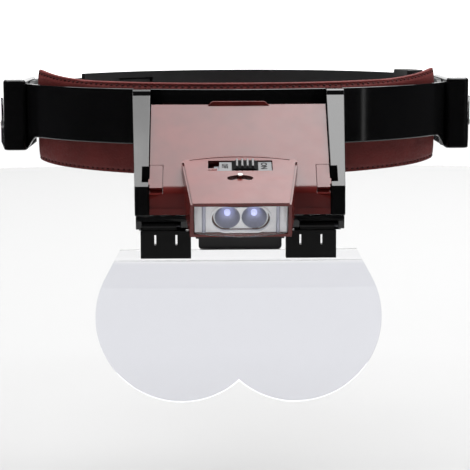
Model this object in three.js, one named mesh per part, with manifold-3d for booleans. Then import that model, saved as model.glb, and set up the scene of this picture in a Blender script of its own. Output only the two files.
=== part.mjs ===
// Headband magnifier: a head frame with a lamp, a battery housing and a lens on a hinge.
// Millimetres. X runs to the viewer's right, Y to the back of the head, Z up.
// The origin is the centre of the head opening, at the middle height of the arms.
import * as THREE from 'three';
import { mergeVertices } from 'three/addons/utils/BufferGeometryUtils.js';
import Module from 'manifold-3d';

const wasm = await Module();
wasm.setup();

// Shared clearances
const fitGap = 0.3;
const runningGap = 0.35;
const cutOverrun = 2;
const weldDistance = 0.0001;
const roundSteps = 24;

// Frame ring and arms
const ringCentreY = 3;
const ringOuterRadius = 101.5;
const frameWall = 2;
const armTop = 10.6;
const armBottom = -12.1;
const armTaperRun = 4;
const ringSteps = 60;

// Side blocks
const blockSetback = 10;
const blockWidth = 9.5;
const blockFlare = 6.8; // how much further out a block stands at its back than at its front
const blockBack = 0;
const blockLength = 44;
const blockTop = 12.4;
const blockFrontChamfer = 1.5;
const blockTopChamfer = 1;
const blockBottom = -18.2;
const blockWall = 1.8;
const blockInnerRound = 2;
const blockOuterRound = 3;

// Cheeks and battery tray
const trayRoom = 8.2;
const cheekThickness = 7.1;
const cheekFrontThickness = 5.3;
const cheekBevelDrop = 1.5;
const cheekStepDrop = 2.7;
const cheekTopDepth = 1.6;
const cheekNose = 2;
const cheekFrontHeight = 11.3;
const trayBottom = -36.5;
const trayFloor = 1.8;
const notchWidth = 2.6;
const notchTopShare = 0.78;
const notchBottomShare = 0.95;
const notchDepth = 8;

// Battery cover
const roofSetback = 0.7;
const roofBackDrop = 5.8;
const roofOverhang = 5;
const roofFrontHeight = 10.5;
const coverWall = 2;
const coverSkirtDepth = 8;
const coverSkirtWall = 1.5;
const coverLipHeight = 2.4;
const coverLipDepth = 0.6;
const tabHalfWidth = 13.7;
const tabTopHalfWidth = 10.6;
const tabHeight = 1.1;
const tabDepth = 0.9;
const catchWidth = 5;
const catchLength = 11.5;
const catchThickness = 1.4;
const catchHookDepth = 1.8;
const catchHookInset = 1.6;

// Battery box and cells
const cellRadius = 5.25;
const cellLength = 43.5;
const cellNubRadius = 1.9;
const cellNubLength = 1;
const cellSpace = 1.5;
const cellStackSpace = 1.1;
const contactRoom = 5.45;
const boxFloor = 1.65;
const boxWall = 1.6;
const boxSetback = 0.6;
const boxEndRoom = 1.75;
const ribPlace = 12;
const contactThickness = 0.4;
const contactWidth = 8;
const springRadius = 3;
const springWireRadius = 0.35;
const springTurns = 3;

// Lamp head, in its own sloping frame: its y runs back up the slope, its z is square to the slope
const lampPivotReach = 12.5;
const lampPivotRise = 2.5;
const lampSlopeDegrees = 21.8;
const lampFrontReach = 14.6;
const lampBackReach = 21.4;
const lampBackBulge = 3;
const lampFrontHalfWidth = 18.9;
const lampBackHalfWidth = 22.6;
const lampCornerRound = 2.2;
const lampCornerCutDegrees = 10;
const lampHeight = 16.4;
const lampWall = 1.3;
const lampPlate = 1.6;
const visorReach = 3.6;
const lampSeatGap = 0.4;
const windowWall = 1;
const windowBulge = 3.2;
const windowSteps = 16;
const windowSideWidth = 1.4;
const windowBottomRim = 1.6;

// Switch in the lamp's top plate
const slotLeft = -12.3;
const slotRight = 12.7;
const slotFront = 11.8;
const slotBack = 20.4;
const switchTravel = 4;
const switchPlateThickness = 0.8;
const switchPlateRecess = 0.5;
const knobWidth = 10.4;
const knobLeft = -3.2;
const knobHeight = 0.5;
const knobRidges = 4;
const knobRidgeHeight = 0.3;
const knobRidgeWidth = 0.7;
const switchBodyHeight = 3;
const switchBodyLength = 20;
const switchBodyDepth = 5;

// Beam lever and light unit
const leverArm = 6.6;
const leverSlotDegrees = 31;
const leverPinRadius = 0.7;
const leverHeadRadius = 1.1;
const leverHeadHeight = 0.9;
const leverSlotGap = 0.9;
const unitHalfWidth = 10.3;
const unitFrontReach = 8.2;
const unitBackReach = 1.2;
const unitHeight = 10.6;
const unitHeadroom = 2.4;
const reflectorRadius = 4.85;
const reflectorSpacing = 10.1;
const reflectorDepth = 5;
const ledRadius = 1.2;
const ledLength = 3;
const boardThickness = 1;
const bezelThickness = 0.8;
const bezelHalfWidth = 11.4;
const bezelRadius = 5.5;
const unitPegRadius = 1.6;

// Hinge brackets, their pins and the lens stop
const hingeSetback = 0.5;
const hingeDrop = 4.1;
const bracketInset = 0.3;
const bracketLength = 20.3;
const bracketPlate = 2;
const bracketFrontReach = 1.9;
const bracketBackReach = 12;
const innerLugWidth = 2.8;
const outerLugWidth = 2.2;
const lugRadius = 1.5;
const hingePinRadius = 0.8;
const stopClipGap = 1.1;
const stopStep = 1.1;
const stopShoulderDrop = 9.5;
const stopDrop = 13.6;
const stopThickness = 1.8;
const stopLensGap = 0.4;
const stopCornerRound = 1.4;
const screwRadius = 1.1;
const screwHeadRadius = 2.1;
const screwHeadHeight = 1.3;

// Lens and its clips, measured from the hinge axis
const clipInset = 2.5;
const clipWidth = 19.5;
const clipTop = -1.9;
const clipBottom = -12.6;
const clipHalfThickness = 2.2;
const clipJaw = 0.9;
const clipSlitWidth = 0.8;
const clipSlitTop = -3.4;
const clipSlitBottom = -7.4;
const clipSlitShare = 0.29;
const lensTop = -9.4;
const lensFlange = 4.2;
const lensCornerOutShare = 0.7036;
const lensLobeRadius = 33.4;
const lensLobeSpacing = 45;
const lensCornerUpShare = 0.8024;
const lensThickness = 2;
const lensDome = 2.6;
const lensSteps = 22;
const lensSideShift = -0.7;

// Rear straps
const pivotZ = -3;
const pivotPinRadius = 2.2;
const pivotCapRadius = 6.6;
const pivotCapHeight = 0.9;
const pivotHeadRadius = 4;
const pivotHeadHeight = 0.8;
const strapThickness = 2;
const strapBackY = 98;
const strapTop = 11.2;
const narrowStrapTop = 9;
const narrowingSteps = 5;
const strapBottom = -7.8;
const strapEndReach = 9;
const strapEndRound = 5;
const strapSteps = 44;
const rightStrapEndDegrees = 147;
const leftStrapEndDegrees = 19.5;
const keeperFromDegrees = 18.5;
const keeperToDegrees = 27.5;
const keeperWall = 1.6;
const latchRootDegrees = 131;
const latchTipDegrees = 119;
const latchTop = 7.4;
const latchHeight = 8;
const latchSlit = 0.8;
const latchThickness = 0.9;
const latchPip = 1.6;
const ratchetHoles = 9;
const ratchetPitchDegrees = 4.2;
const ratchetHoleWidth = 2.6;
const ratchetHoleHeight = 4;

// Brow pad
const padGap = 0.5;
const padThickness = 5.5;
const padHeight = 38;
const padEndGap = 5;
const padCentreZ = -5.9;
const padEndRise = 2.6;
const padEdgeShare = 0.3;
const padEndShare = 0.06;
const padSteps = 44;
const padSectionSteps = 8;

const degrees = Math.PI / 180;
const frontDegrees = -90;

// Places that follow from the sizes above: across the head
const blockInner = ringOuterRadius - blockSetback;
const blockOuter = blockInner + blockWidth;
const blockBackOuter = blockOuter + blockFlare;
const armReach = blockInner - armTaperRun;
const padHalfChord = blockInner - padEndGap;
const boxHalfLength = cellLength / 2 + contactRoom;
const trayHalfWidth = boxHalfLength + trayRoom;
const cheekTopHalfWidth = trayHalfWidth + cheekThickness;
const cheekFrontHalfWidth = trayHalfWidth + cheekFrontThickness;
const bracketOuter = cheekFrontHalfWidth - bracketInset;
const bracketInner = bracketOuter - bracketLength;
const clipOuter = bracketOuter - clipInset;
const clipInner = clipOuter - clipWidth;
const stopHalfWidth = clipInner - stopClipGap;
const stopTongueHalfWidth = stopHalfWidth - stopStep;
const lensTopHalfWidth = lensLobeSpacing / 2 + lensLobeRadius * lensCornerOutShare;

// From back to front
const blockFront = blockBack - blockLength;
const pivotY = (blockFront + blockBack) / 2;
const flareAngle = Math.atan2(blockFlare, blockLength - blockOuterRound);
const flareDegrees = flareAngle / degrees;
const flareNormal = [Math.cos(flareAngle), -Math.sin(flareAngle), 0];
const strapFrontY = pivotY - strapEndReach;
const ringFrontY = ringCentreY - ringOuterRadius;
const cheekWallY = ringCentreY - Math.sqrt(ringOuterRadius ** 2 - cheekTopHalfWidth ** 2) + frameWall / 2;
const boxBackY = ringFrontY - boxSetback;
const cellRearY = boxBackY - boxFloor - cellRadius;
const cellPitchY = cellRadius * 2 + cellSpace;
const boxFrontY = cellRearY - cellPitchY - cellRadius - boxEndRoom;
const roofBackY = ringFrontY - roofSetback;
const roofFrontY = boxFrontY - roofOverhang;
const cheekFrontY = roofFrontY - cheekNose;
const hingeY = roofFrontY + hingeSetback;
const lampPivotY = roofFrontY - lampPivotReach;

// From the tray's underside up, and down to the lens
const cheekFrontTop = trayBottom + cheekFrontHeight;
const coverFrontBottom = trayBottom + fitGap;
const roofBackZ = armTop - roofBackDrop;
const roofFrontZ = trayBottom + roofFrontHeight;
const lampPivotZ = roofFrontZ + lampPivotRise;
const cellLowZ = trayBottom + trayFloor + boxFloor + fitGap * 2 + cellRadius;
const cellHighZ = cellLowZ + cellRadius * 2 + cellStackSpace;
const hingeZ = trayBottom - hingeDrop;
const stopShoulder = trayBottom - stopShoulderDrop;
const stopBottom = trayBottom - stopDrop;
const lensCentreDrop = lensLobeRadius * lensCornerUpShare - lensTop;

const roofSlope = (roofBackZ - roofFrontZ) / (roofBackY - roofFrontY);
const roofAngle = Math.atan(roofSlope);

/** A closed solid from a three.js geometry. */
function solidFrom(geometry) {
  geometry.deleteAttribute('normal');
  geometry.deleteAttribute('uv');
  const merged = mergeVertices(geometry, weldDistance);
  return new wasm.Manifold(new wasm.Mesh({
    numProp: 3,
    vertProperties: new Float32Array(merged.attributes.position.array),
    triVerts: new Uint32Array(merged.index.array),
  }));
}

/** A flat-shaded geometry from a closed solid. */
function geometryFrom(solid) {
  const mesh = solid.getMesh();
  const indexed = new THREE.BufferGeometry();
  indexed.setAttribute('position', new THREE.BufferAttribute(new Float32Array(mesh.vertProperties), 3));
  indexed.setIndex(new THREE.BufferAttribute(new Uint32Array(mesh.triVerts), 1));
  const flat = indexed.toNonIndexed();
  flat.computeVertexNormals();
  return flat;
}

/** A named mesh with a material of its own. */
function piece(name, solid, color, roughness = 0.4, metalness = 0) {
  const material = new THREE.MeshStandardMaterial({ color, roughness, metalness });
  const mesh = new THREE.Mesh(geometryFrom(solid), material);
  mesh.name = name;
  return mesh;
}

/** Points on an arc, angles in degrees from the first axis. */
function arc(centre, radius, from, to, steps = roundSteps) {
  return Array.from({ length: steps + 1 }, (unused, step) => {
    const angle = (from + (to - from) * step / steps) * degrees;
    return [centre[0] + radius * Math.cos(angle), centre[1] + radius * Math.sin(angle)];
  });
}

const prismBasis = {
  x: [new THREE.Vector3(0, 1, 0), new THREE.Vector3(0, 0, 1), new THREE.Vector3(1, 0, 0)],
  y: [new THREE.Vector3(1, 0, 0), new THREE.Vector3(0, 0, 1), new THREE.Vector3(0, -1, 0)],
  z: [new THREE.Vector3(1, 0, 0), new THREE.Vector3(0, 1, 0), new THREE.Vector3(0, 0, 1)],
};

/** An outline in the plane square to an axis, drawn out along that axis between two places. */
function prism(axis, outline, from, to) {
  const shape = new THREE.Shape(outline.map(([a, b]) => new THREE.Vector2(a, b)));
  const geometry = new THREE.ExtrudeGeometry(shape, { depth: to - from, bevelEnabled: false });
  const start = axis === 'y' ? to : from;
  const offset = new THREE.Vector3().setComponent('xyz'.indexOf(axis), start);
  const matrix = new THREE.Matrix4().makeBasis(...prismBasis[axis]).setPosition(offset);
  return solidFrom(geometry.applyMatrix4(matrix));
}

/** A block between two opposite corners. */
function block(low, high) {
  const size = high.map((value, axis) => value - low[axis]);
  const centre = high.map((value, axis) => (value + low[axis]) / 2);
  return solidFrom(new THREE.BoxGeometry(...size).translate(...centre));
}

/** A round rod along an axis, through a point of the plane square to it. */
function rod(axis, centre, radius, from, to, sides = roundSteps) {
  const outline = arc(centre, radius, 0, 360, sides).slice(0, -1);
  return prism(axis, outline, from, to);
}

/** A solid through rings of points that wind anticlockwise about the direction of travel. */
function loft(rings) {
  const count = rings[0].length;
  const last = (rings.length - 1) * count;
  const index = [];
  for (let ring = 0; ring < rings.length - 1; ring += 1) {
    for (let side = 0; side < count; side += 1) {
      const a = ring * count + side;
      const b = ring * count + (side + 1) % count;
      index.push(a, b, b + count, a, b + count, a + count);
    }
  }
  for (let side = 1; side < count - 1; side += 1) {
    index.push(0, side + 1, side, last, last + side, last + side + 1);
  }
  const geometry = new THREE.BufferGeometry();
  geometry.setAttribute('position', new THREE.Float32BufferAttribute(rings.flat(2), 3));
  geometry.setIndex(index);
  return solidFrom(geometry);
}

/** The direction square to a plan path at one of its points, on its right-hand side. */
function pathNormal(path, place) {
  const before = path[Math.max(place - 1, 0)];
  const after = path[Math.min(place + 1, path.length - 1)];
  const length = Math.hypot(after[0] - before[0], after[1] - before[1]);
  return [(after[1] - before[1]) / length, -(after[0] - before[0]) / length];
}

/** An upright band along a plan path, with its bottom and top given at each point. */
function ribbon(path, thickness, heightsAt) {
  return loft(path.map(([x, y], place) => {
    const [nx, ny] = pathNormal(path, place);
    const [low, high] = heightsAt(place);
    const half = thickness / 2;
    const corner = (side, z) => [x + nx * side * half, y + ny * side * half, z];
    return [corner(-1, low), corner(-1, high), corner(1, high), corner(1, low)];
  }));
}

/** All the given solids as one. */
function union(...solids) {
  return solids.reduce((whole, next) => whole.add(next));
}

/** The same solid on the other side of the middle plane. */
function mirrored(solid) {
  return solid.mirror([1, 0, 0]);
}

/** The solid together with its mirror image. */
function bothSides(solid) {
  return solid.add(mirrored(solid));
}

/** Height of the roof's outer surface at a depth. */
function roofHeight(y) {
  return roofBackZ + (y - roofBackY) * roofSlope;
}

/** A point of the lamp's own frame, given a depth and a height of the whole part. */
function lampLocal(y, z) {
  const angle = lampSlopeDegrees * degrees;
  const dy = y - lampPivotY;
  const dz = z - lampPivotZ;
  return [dy * Math.cos(angle) + dz * Math.sin(angle), dz * Math.cos(angle) - dy * Math.sin(angle)];
}

// Places of the screws below the tray, on one side of the middle plane
const bracketScrewY = hingeY + bracketBackReach - screwHeadRadius * 1.4;
const screwPlaces = [
  [(bracketInner + bracketOuter) / 2 - screwHeadRadius * 2, bracketScrewY],
  [(bracketInner + bracketOuter) / 2 + screwHeadRadius * 1.2, bracketScrewY],
  [stopTongueHalfWidth / 2, bracketScrewY],
];
const bracketTop = trayBottom - fitGap;
const bracketBottom = bracketTop - bracketPlate;

/** Curved wall of the arms and of the tray's back, as seen from above and from the front. */
function frameRing() {
  const centre = [0, ringCentreY];
  const reach = Math.asin((blockInner + frameWall / 2) / ringOuterRadius) / degrees;
  const outer = arc(centre, ringOuterRadius, frontDegrees - reach, frontDegrees + reach, ringSteps);
  const inner = arc(centre, ringOuterRadius - frameWall, frontDegrees + reach, frontDegrees - reach, ringSteps);
  const plan = prism('z', [...outer, ...inner], trayBottom, armTop);
  const lower = [
    [blockInner + frameWall, blockBottom], [blockInner, blockBottom], [armReach, armBottom],
    [cheekTopHalfWidth, armBottom], [cheekTopHalfWidth, trayBottom],
  ];
  const half = [[blockInner + frameWall, armTop], ...lower];
  const silhouette = [...half, ...half.map(([x, z]) => [-x, z]).reverse()];
  const front = prism('y', silhouette, ringFrontY, blockBack);
  return plan.intersect(front);
}

/** Hollow block beside the temple, open below, with a bore for its pivot pin. */
function sideBlock() {
  const innerCorner = [blockInner + blockInnerRound, blockFront + blockInnerRound];
  const outerCorner = [blockOuter - blockOuterRound, blockFront + blockOuterRound];
  const plan = [
    [blockInner, blockBack],
    ...arc(innerCorner, blockInnerRound, 180, 270, 6),
    ...arc(outerCorner, blockOuterRound, 270, 360 - flareDegrees, 8),
    [blockBackOuter, blockBack],
  ];
  const side = [
    [blockFront, blockBottom], [blockBack, blockBottom], [blockBack, blockTop],
    [blockFront + blockFrontChamfer, blockTop], [blockFront, blockTop - blockFrontChamfer],
  ];
  const outside = prism('z', plan, blockBottom, blockTop).intersect(prism('x', side, blockInner, blockBackOuter));
  return belowChamfer(outside).subtract(blockHollow()).subtract(pinSeat());
}

/** Cuts the chamfer along the outer top edge of a side block. */
function belowChamfer(solid) {
  const outward = new THREE.Vector3(...flareNormal);
  const tilted = outward.clone().add(new THREE.Vector3(0, 0, 1)).normalize();
  const edge = new THREE.Vector3(blockBackOuter, blockBack, blockTop).addScaledVector(outward, -blockTopChamfer);
  return solid.trimByPlane(tilted.clone().negate().toArray(), -tilted.dot(edge));
}

/** Room inside a side block, round the seat of its pin. */
function blockHollow() {
  const front = blockFront + blockWall + blockOuterRound / 2;
  const back = blockBack - blockWall;
  const plan = [
    [blockInner + blockWall, back], [blockInner + blockWall, front],
    [blockOuter - blockWall, front], [blockBackOuter - blockWall - blockWall * Math.tan(flareAngle), back],
  ];
  const seatWall = rod('x', [pivotY, pivotZ], pivotCapRadius + fitGap + blockWall, blockOuter - blockWall,
    blockBackOuter);
  return prism('z', plan, blockBottom - cutOverrun, blockTop - blockWall).subtract(seatWall);
}

/** Bore for a temple pin, with the round seat of its cap. */
function pinSeat() {
  const end = blockBackOuter + cutOverrun;
  const bore = rod('x', [pivotY, pivotZ], pivotPinRadius + fitGap, blockInner - cutOverrun, end);
  return bore.add(rod('x', [pivotY, pivotZ], pivotCapRadius + fitGap, blockOuter, end, 32));
}

/** Wall at one side of the battery tray, with its sloping face and the notch for a catch. */
function cheek() {
  const stepY = ringFrontY - cheekTopDepth / 2;
  const slopeTop = [stepY - cheekTopDepth / 2, armTop - cheekStepDrop];
  const side = [
    [cheekWallY, armTop], [ringFrontY + cheekTopDepth, armTop], [stepY, armTop - cheekBevelDrop],
    slopeTop, [cheekFrontY, cheekFrontTop], [cheekFrontY, trayBottom], [cheekWallY, trayBottom],
  ];
  const plan = [
    [trayHalfWidth, cheekWallY], [trayHalfWidth, cheekFrontY],
    [cheekFrontHalfWidth, cheekFrontY], [cheekTopHalfWidth, ringFrontY], [cheekTopHalfWidth, cheekWallY],
  ];
  const solid = prism('x', side, trayHalfWidth, cheekTopHalfWidth)
    .intersect(prism('z', plan, trayBottom, armTop));
  const along = (share) => [
    slopeTop[0] + (cheekFrontY - slopeTop[0]) * share,
    slopeTop[1] + (cheekFrontTop - slopeTop[1]) * share,
  ];
  const [topY, topZ] = along(notchTopShare);
  const [bottomY, bottomZ] = along(notchBottomShare);
  const notch = prism('x', [
    [topY, topZ + cutOverrun], [topY, topZ - notchDepth], [bottomY, bottomZ - notchDepth / 2],
    [bottomY, topZ + cutOverrun],
  ], trayHalfWidth - cutOverrun, trayHalfWidth + notchWidth);
  return solid.subtract(notch);
}

/** Floor of the battery tray, with bores for the screws from below. */
function trayFloorPlate() {
  const front = roofFrontY + coverWall - coverLipDepth + runningGap;
  let floor = block([-trayHalfWidth - frameWall, front, trayBottom],
    [trayHalfWidth + frameWall, cheekWallY, trayBottom + trayFloor]);
  for (const [x, y] of screwPlaces) {
    const bore = rod('z', [x, y], screwRadius + fitGap, trayBottom - cutOverrun, trayBottom + trayFloor + cutOverrun);
    floor = floor.subtract(bothSides(bore));
  }
  return floor;
}

/** Arms, side blocks, cheeks and tray, moulded as one. */
function frontFrame() {
  const headRoom = rod('z', [0, ringCentreY], ringOuterRadius - frameWall, trayBottom - cutOverrun,
    armTop + cutOverrun, ringSteps * 3);
  const tray = union(bothSides(cheek()), trayFloorPlate()).subtract(headRoom);
  const body = union(frameRing(), bothSides(sideBlock()), tray);
  return piece('front_frame', body, 0x0b0b0d, 0.15);
}

/** Cross-section of the pad as shares of its half height and of its thickness. */
function padSectionShares() {
  const inner = [];
  for (let step = 0; step <= padSectionSteps; step += 1) {
    const height = -Math.cos(Math.PI * step / padSectionSteps);
    const crown = padEdgeShare + (1 - padEdgeShare) * Math.sqrt(1 - height ** 4);
    inner.push([height, -crown]);
  }
  return [...inner, [1, 0], [-1, 0]];
}

/** Stitched cushion behind the arms. */
function browPad() {
  const backRadius = ringOuterRadius - frameWall - padGap;
  const reach = Math.asin(padHalfChord / backRadius) / degrees;
  const path = arc([0, ringCentreY], backRadius, frontDegrees - reach, frontDegrees + reach, padSteps);
  const section = padSectionShares();
  const rings = path.map(([x, y], place) => {
    const [nx, ny] = pathNormal(path, place);
    const along = 2 * place / padSteps - 1;
    const swell = padEndShare + (1 - padEndShare) * Math.sqrt(1 - Math.abs(along) ** 16);
    const middle = padCentreZ + padEndRise * Math.abs(along) ** 5;
    return section.map(([height, depth]) => {
      const offset = depth * padThickness * swell;
      return [x + nx * offset, y + ny * offset, middle + height * padHeight / 2];
    });
  });
  return piece('brow_pad', loft(rings), 0x4a1c20, 0.55);
}

// The straps' ends stand beside the blocks; from there the left half runs outside the right one
const strapEndX = blockInner - fitGap - strapThickness / 2;
const strapLayer = strapThickness + fitGap;
const strapMiddleX = strapLayer / 2;
const strapRadiusX = strapEndX + strapLayer / 2;

/** Plan path of a strap half: straight past the side block, then round the back of the head. */
function strapPath(side, level, endDegrees) {
  const radiusX = strapRadiusX - strapLayer * level;
  const radiusY = strapBackY - strapLayer * level;
  const startX = strapEndX * side;
  const startDegrees = side > 0 ? 0 : 180;
  const roundShares = [0, 0.1, 0.3, 0.6, 1];
  const straight = roundShares.map((share) => [startX, strapFrontY + strapEndRound * share]);
  const curve = Array.from({ length: strapSteps + 1 }, (unused, step) => {
    const angle = (startDegrees + (endDegrees - startDegrees) * step / strapSteps) * degrees;
    return [strapMiddleX + radiusX * Math.cos(angle), radiusY * Math.sin(angle)];
  });
  return [...straight, ...curve];
}

/** Bottom and top of a strap at a point: its front end is rounded, and then its top runs down to a height. */
function strapHeights(path, farTop = strapTop) {
  return (place) => {
    const from = path[place][1] - strapFrontY;
    const near = Math.max(strapEndRound - from, 0);
    const inset = place < 6 ? strapEndRound - Math.sqrt(strapEndRound ** 2 - near ** 2) : 0;
    const share = Math.min(Math.max((place - narrowingSteps) / narrowingSteps, 0), 1);
    return [strapBottom + inset, strapTop - inset - (strapTop - farTop) * share];
  };
}

/** A point on a strap's curve with its outward direction, at an angle about the head. */
function strapPlace(level, angleDegrees) {
  const angle = angleDegrees * degrees;
  const radiusX = strapRadiusX - strapLayer * level;
  const radiusY = strapBackY - strapLayer * level;
  const outward = new THREE.Vector2(Math.cos(angle) / radiusX, Math.sin(angle) / radiusY).normalize();
  return { x: strapMiddleX + radiusX * Math.cos(angle), y: radiusY * Math.sin(angle), outward };
}

/** A block set on a strap: size along the strap, across its thickness and in height. */
function blockOnStrap(level, angleDegrees, size, middleZ) {
  const { x, y, outward } = strapPlace(level, angleDegrees);
  const turn = Math.atan2(outward.y, outward.x) / degrees;
  const [along, through, height] = size;
  return block([-through / 2, -along / 2, -height / 2], [through / 2, along / 2, height / 2])
    .rotate([0, 0, turn])
    .translate([x, y, middleZ]);
}

/** Bore for the temple pin through both strap ends. */
function pivotBore() {
  return rod('x', [pivotY, pivotZ], pivotPinRadius + fitGap, -blockInner, blockInner);
}

/** Length of the click tongue along the strap. */
function latchLength() {
  const root = strapPlace(1, latchRootDegrees);
  const tip = strapPlace(1, latchTipDegrees);
  return Math.hypot(root.x - tip.x, root.y - tip.y);
}

const latchMiddleDegrees = (latchRootDegrees + latchTipDegrees) / 2;
const latchMiddleZ = latchTop - latchHeight / 2;

/** Left half, the outer and narrower layer, with its ladder of holes for the click tongue. */
function rearStrapLeft() {
  const path = strapPath(-1, 0, leftStrapEndDegrees);
  const heights = strapHeights(path, narrowStrapTop);
  let strap = ribbon(path, strapThickness, heights).subtract(pivotBore());
  for (let hole = 0; hole < ratchetHoles; hole += 1) {
    const angle = latchTipDegrees + latchSlit * 2 - ratchetPitchDegrees * (hole - 1);
    const size = [ratchetHoleWidth, strapThickness + cutOverrun, ratchetHoleHeight];
    strap = strap.subtract(blockOnStrap(0, angle, size, latchMiddleZ));
  }
  return piece('rear_strap_left', strap, 0x1b1b1d, 0.45);
}

/** Right half, the inner layer, with the window that its click tongue lies in. */
function rearStrapRight() {
  const path = strapPath(1, 1, rightStrapEndDegrees);
  const windowSize = [latchLength() + latchSlit * 2, strapThickness + cutOverrun, latchHeight + latchSlit * 2];
  const strap = ribbon(path, strapThickness, strapHeights(path))
    .subtract(pivotBore())
    .subtract(blockOnStrap(1, latchMiddleDegrees, windowSize, latchMiddleZ));
  return piece('rear_strap_right', strap, 0x1b1b1d, 0.45);
}

/** Click tongue with the pip that drops into the other half's holes. */
function strapLatch() {
  const size = [latchLength(), latchThickness, latchHeight];
  const tongue = blockOnStrap(1, latchMiddleDegrees, size, latchMiddleZ);
  const pipAngle = latchTipDegrees + latchSlit * 2;
  const { x, y, outward } = strapPlace(1, pipAngle);
  const pipReach = (strapThickness + fitGap) / 2;
  const pip = block([0, -latchPip / 2, -latchPip / 2], [pipReach + latchPip / 2, latchPip / 2, latchPip / 2])
    .rotate([0, 0, Math.atan2(outward.y, outward.x) / degrees])
    .translate([x, y, latchMiddleZ]);
  return piece('strap_latch', union(tongue, pip), 0x18181a, 0.45);
}

/** Loop at the end of the left half, round both halves. */
function strapKeeper() {
  const steps = 8;
  const path = Array.from({ length: steps + 1 }, (unused, step) => {
    const angle = keeperFromDegrees + (keeperToDegrees - keeperFromDegrees) * step / steps;
    const { x, y } = strapPlace(0.5, angle);
    return [x, y];
  });
  const inside = strapThickness * 2 + fitGap * 3;
  const loop = ribbon(path, inside + keeperWall * 2,
    () => [strapBottom - fitGap - keeperWall, strapTop + fitGap + keeperWall]);
  const long = Array.from({ length: steps + 1 }, (unused, step) => {
    const angle = keeperFromDegrees - 1 + (keeperToDegrees - keeperFromDegrees + 2) * step / steps;
    const { x, y } = strapPlace(0.5, angle);
    return [x, y];
  });
  const hole = ribbon(long, inside, () => [strapBottom - fitGap, strapTop + fitGap]);
  return piece('strap_keeper', loop.subtract(hole), 0x121214, 0.35);
}

/** Capped pin through a side block and its strap end. */
function templePivot(name, side) {
  const face = new THREE.Vector3(blockBackOuter, blockBack, 0).dot(new THREE.Vector3(...flareNormal)) + pivotCapHeight;
  const cap = rod('x', [pivotY, pivotZ], pivotCapRadius, blockOuter + fitGap, blockBackOuter, 32)
    .trimByPlane(flareNormal.map((value) => -value), -face);
  const strapInside = blockInner - fitGap * 2 - strapThickness;
  const head = rod('x', [pivotY, pivotZ], pivotHeadRadius, strapInside - pivotHeadHeight, strapInside);
  const pin = rod('x', [pivotY, pivotZ], pivotPinRadius, strapInside - pivotHeadHeight,
    blockOuter + fitGap + pivotCapHeight / 2);
  const whole = union(cap, head, pin);
  return piece(name, side > 0 ? whole : mirrored(whole), 0x101012, 0.25);
}

// Places of the cells, as depth and height
const lowRear = [cellRearY, cellLowZ];
const lowFront = [cellRearY - cellPitchY, cellLowZ];
const highRear = [cellRearY, cellHighZ];

/** Open cradle for the cells: floor, end walls and two ribs. */
function batteryBox() {
  const floorBottom = trayBottom + trayFloor + fitGap;
  const floorTop = floorBottom + boxFloor;
  const roofGap = coverWall / Math.cos(roofAngle) + runningGap * 2;
  const endProfile = [
    [boxBackY, floorBottom], [boxFrontY, floorBottom], [boxFrontY, roofHeight(boxFrontY) - roofGap],
    [boxBackY, roofHeight(boxBackY) - roofGap - cellRadius],
  ];
  const postY = cellRearY - cellPitchY / 2 - boxWall / 2;
  const ribProfile = [
    [boxBackY, floorBottom], [boxFrontY, floorBottom], [boxFrontY, cellLowZ + cellRadius / 2],
    [postY, cellLowZ + cellRadius / 2],
    [postY, cellHighZ + cellRadius / 3], [boxBackY, cellHighZ + cellRadius / 3],
  ];
  const wall = prism('x', endProfile, boxHalfLength - boxWall, boxHalfLength);
  const rib = prism('x', ribProfile, ribPlace, ribPlace + boxWall);
  let body = union(block([-boxHalfLength, boxFrontY, floorBottom], [boxHalfLength, boxBackY, floorTop]),
    bothSides(wall), bothSides(rib));
  for (const place of [lowRear, lowFront, highRear]) {
    body = body.subtract(rod('x', place, cellRadius + fitGap, -cellLength / 2 - boxWall, cellLength / 2 + boxWall));
  }
  return piece('battery_box', body, 0x17171a, 0.5);
}

/** One cell, its nub at the left or at the right end. */
function cell(number, [y, z], nubSide) {
  const can = rod('x', [y, z], cellRadius, -cellLength / 2, cellLength / 2);
  const nub = rod('x', [y, z], cellNubRadius, cellLength / 2 - cellNubLength, cellLength / 2 + cellNubLength, 16);
  const whole = union(can, nub);
  return piece(`cell_${number}`, nubSide > 0 ? whole : mirrored(whole), 0x2f5f8f, 0.35, 0.3);
}

/** Sheet contact that joins the ends of the given cells. */
function contactPlate(name, cells, side) {
  const outside = boxHalfLength - boxWall - fitGap;
  const half = contactWidth / 2;
  const depths = cells.map(([y]) => y);
  const heights = cells.map(([, z]) => z);
  const low = [outside - contactThickness, Math.min(...depths) - half, Math.min(...heights) - half];
  const high = [outside, Math.max(...depths) + half, Math.max(...heights) + half];
  const plate = block(low, high);
  return piece(name, side > 0 ? plate : mirrored(plate), 0xc9b27a, 0.3, 0.9);
}

/** Pressed coil between a cell and its contact, as one unbroken wire. */
function contactSpring(number, [y, z], side) {
  const from = cellLength / 2 + springWireRadius + fitGap;
  const to = boxHalfLength - boxWall - fitGap * 2 - contactThickness - springWireRadius;
  const steps = springTurns * 8;
  const points = Array.from({ length: steps + 1 }, (unused, step) => {
    const angle = 2 * Math.PI * springTurns * step / steps;
    const x = from + (to - from) * step / steps;
    const radius = springRadius * (0.55 + 0.45 * step / steps);
    return new THREE.Vector3(side * x, y + radius * Math.cos(angle), z + radius * Math.sin(angle));
  });
  const route = new THREE.CatmullRomCurve3(points);
  const wire = new THREE.Shape(arc([0, 0], springWireRadius, 0, 360, 5).slice(0, -1)
    .map(([a, b]) => new THREE.Vector2(a, b)));
  const coil = solidFrom(new THREE.ExtrudeGeometry(wire, { steps, extrudePath: route, bevelEnabled: false }));
  return piece(`contact_spring_${number}`, coil, 0xd0d0d4, 0.25, 1);
}

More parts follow.
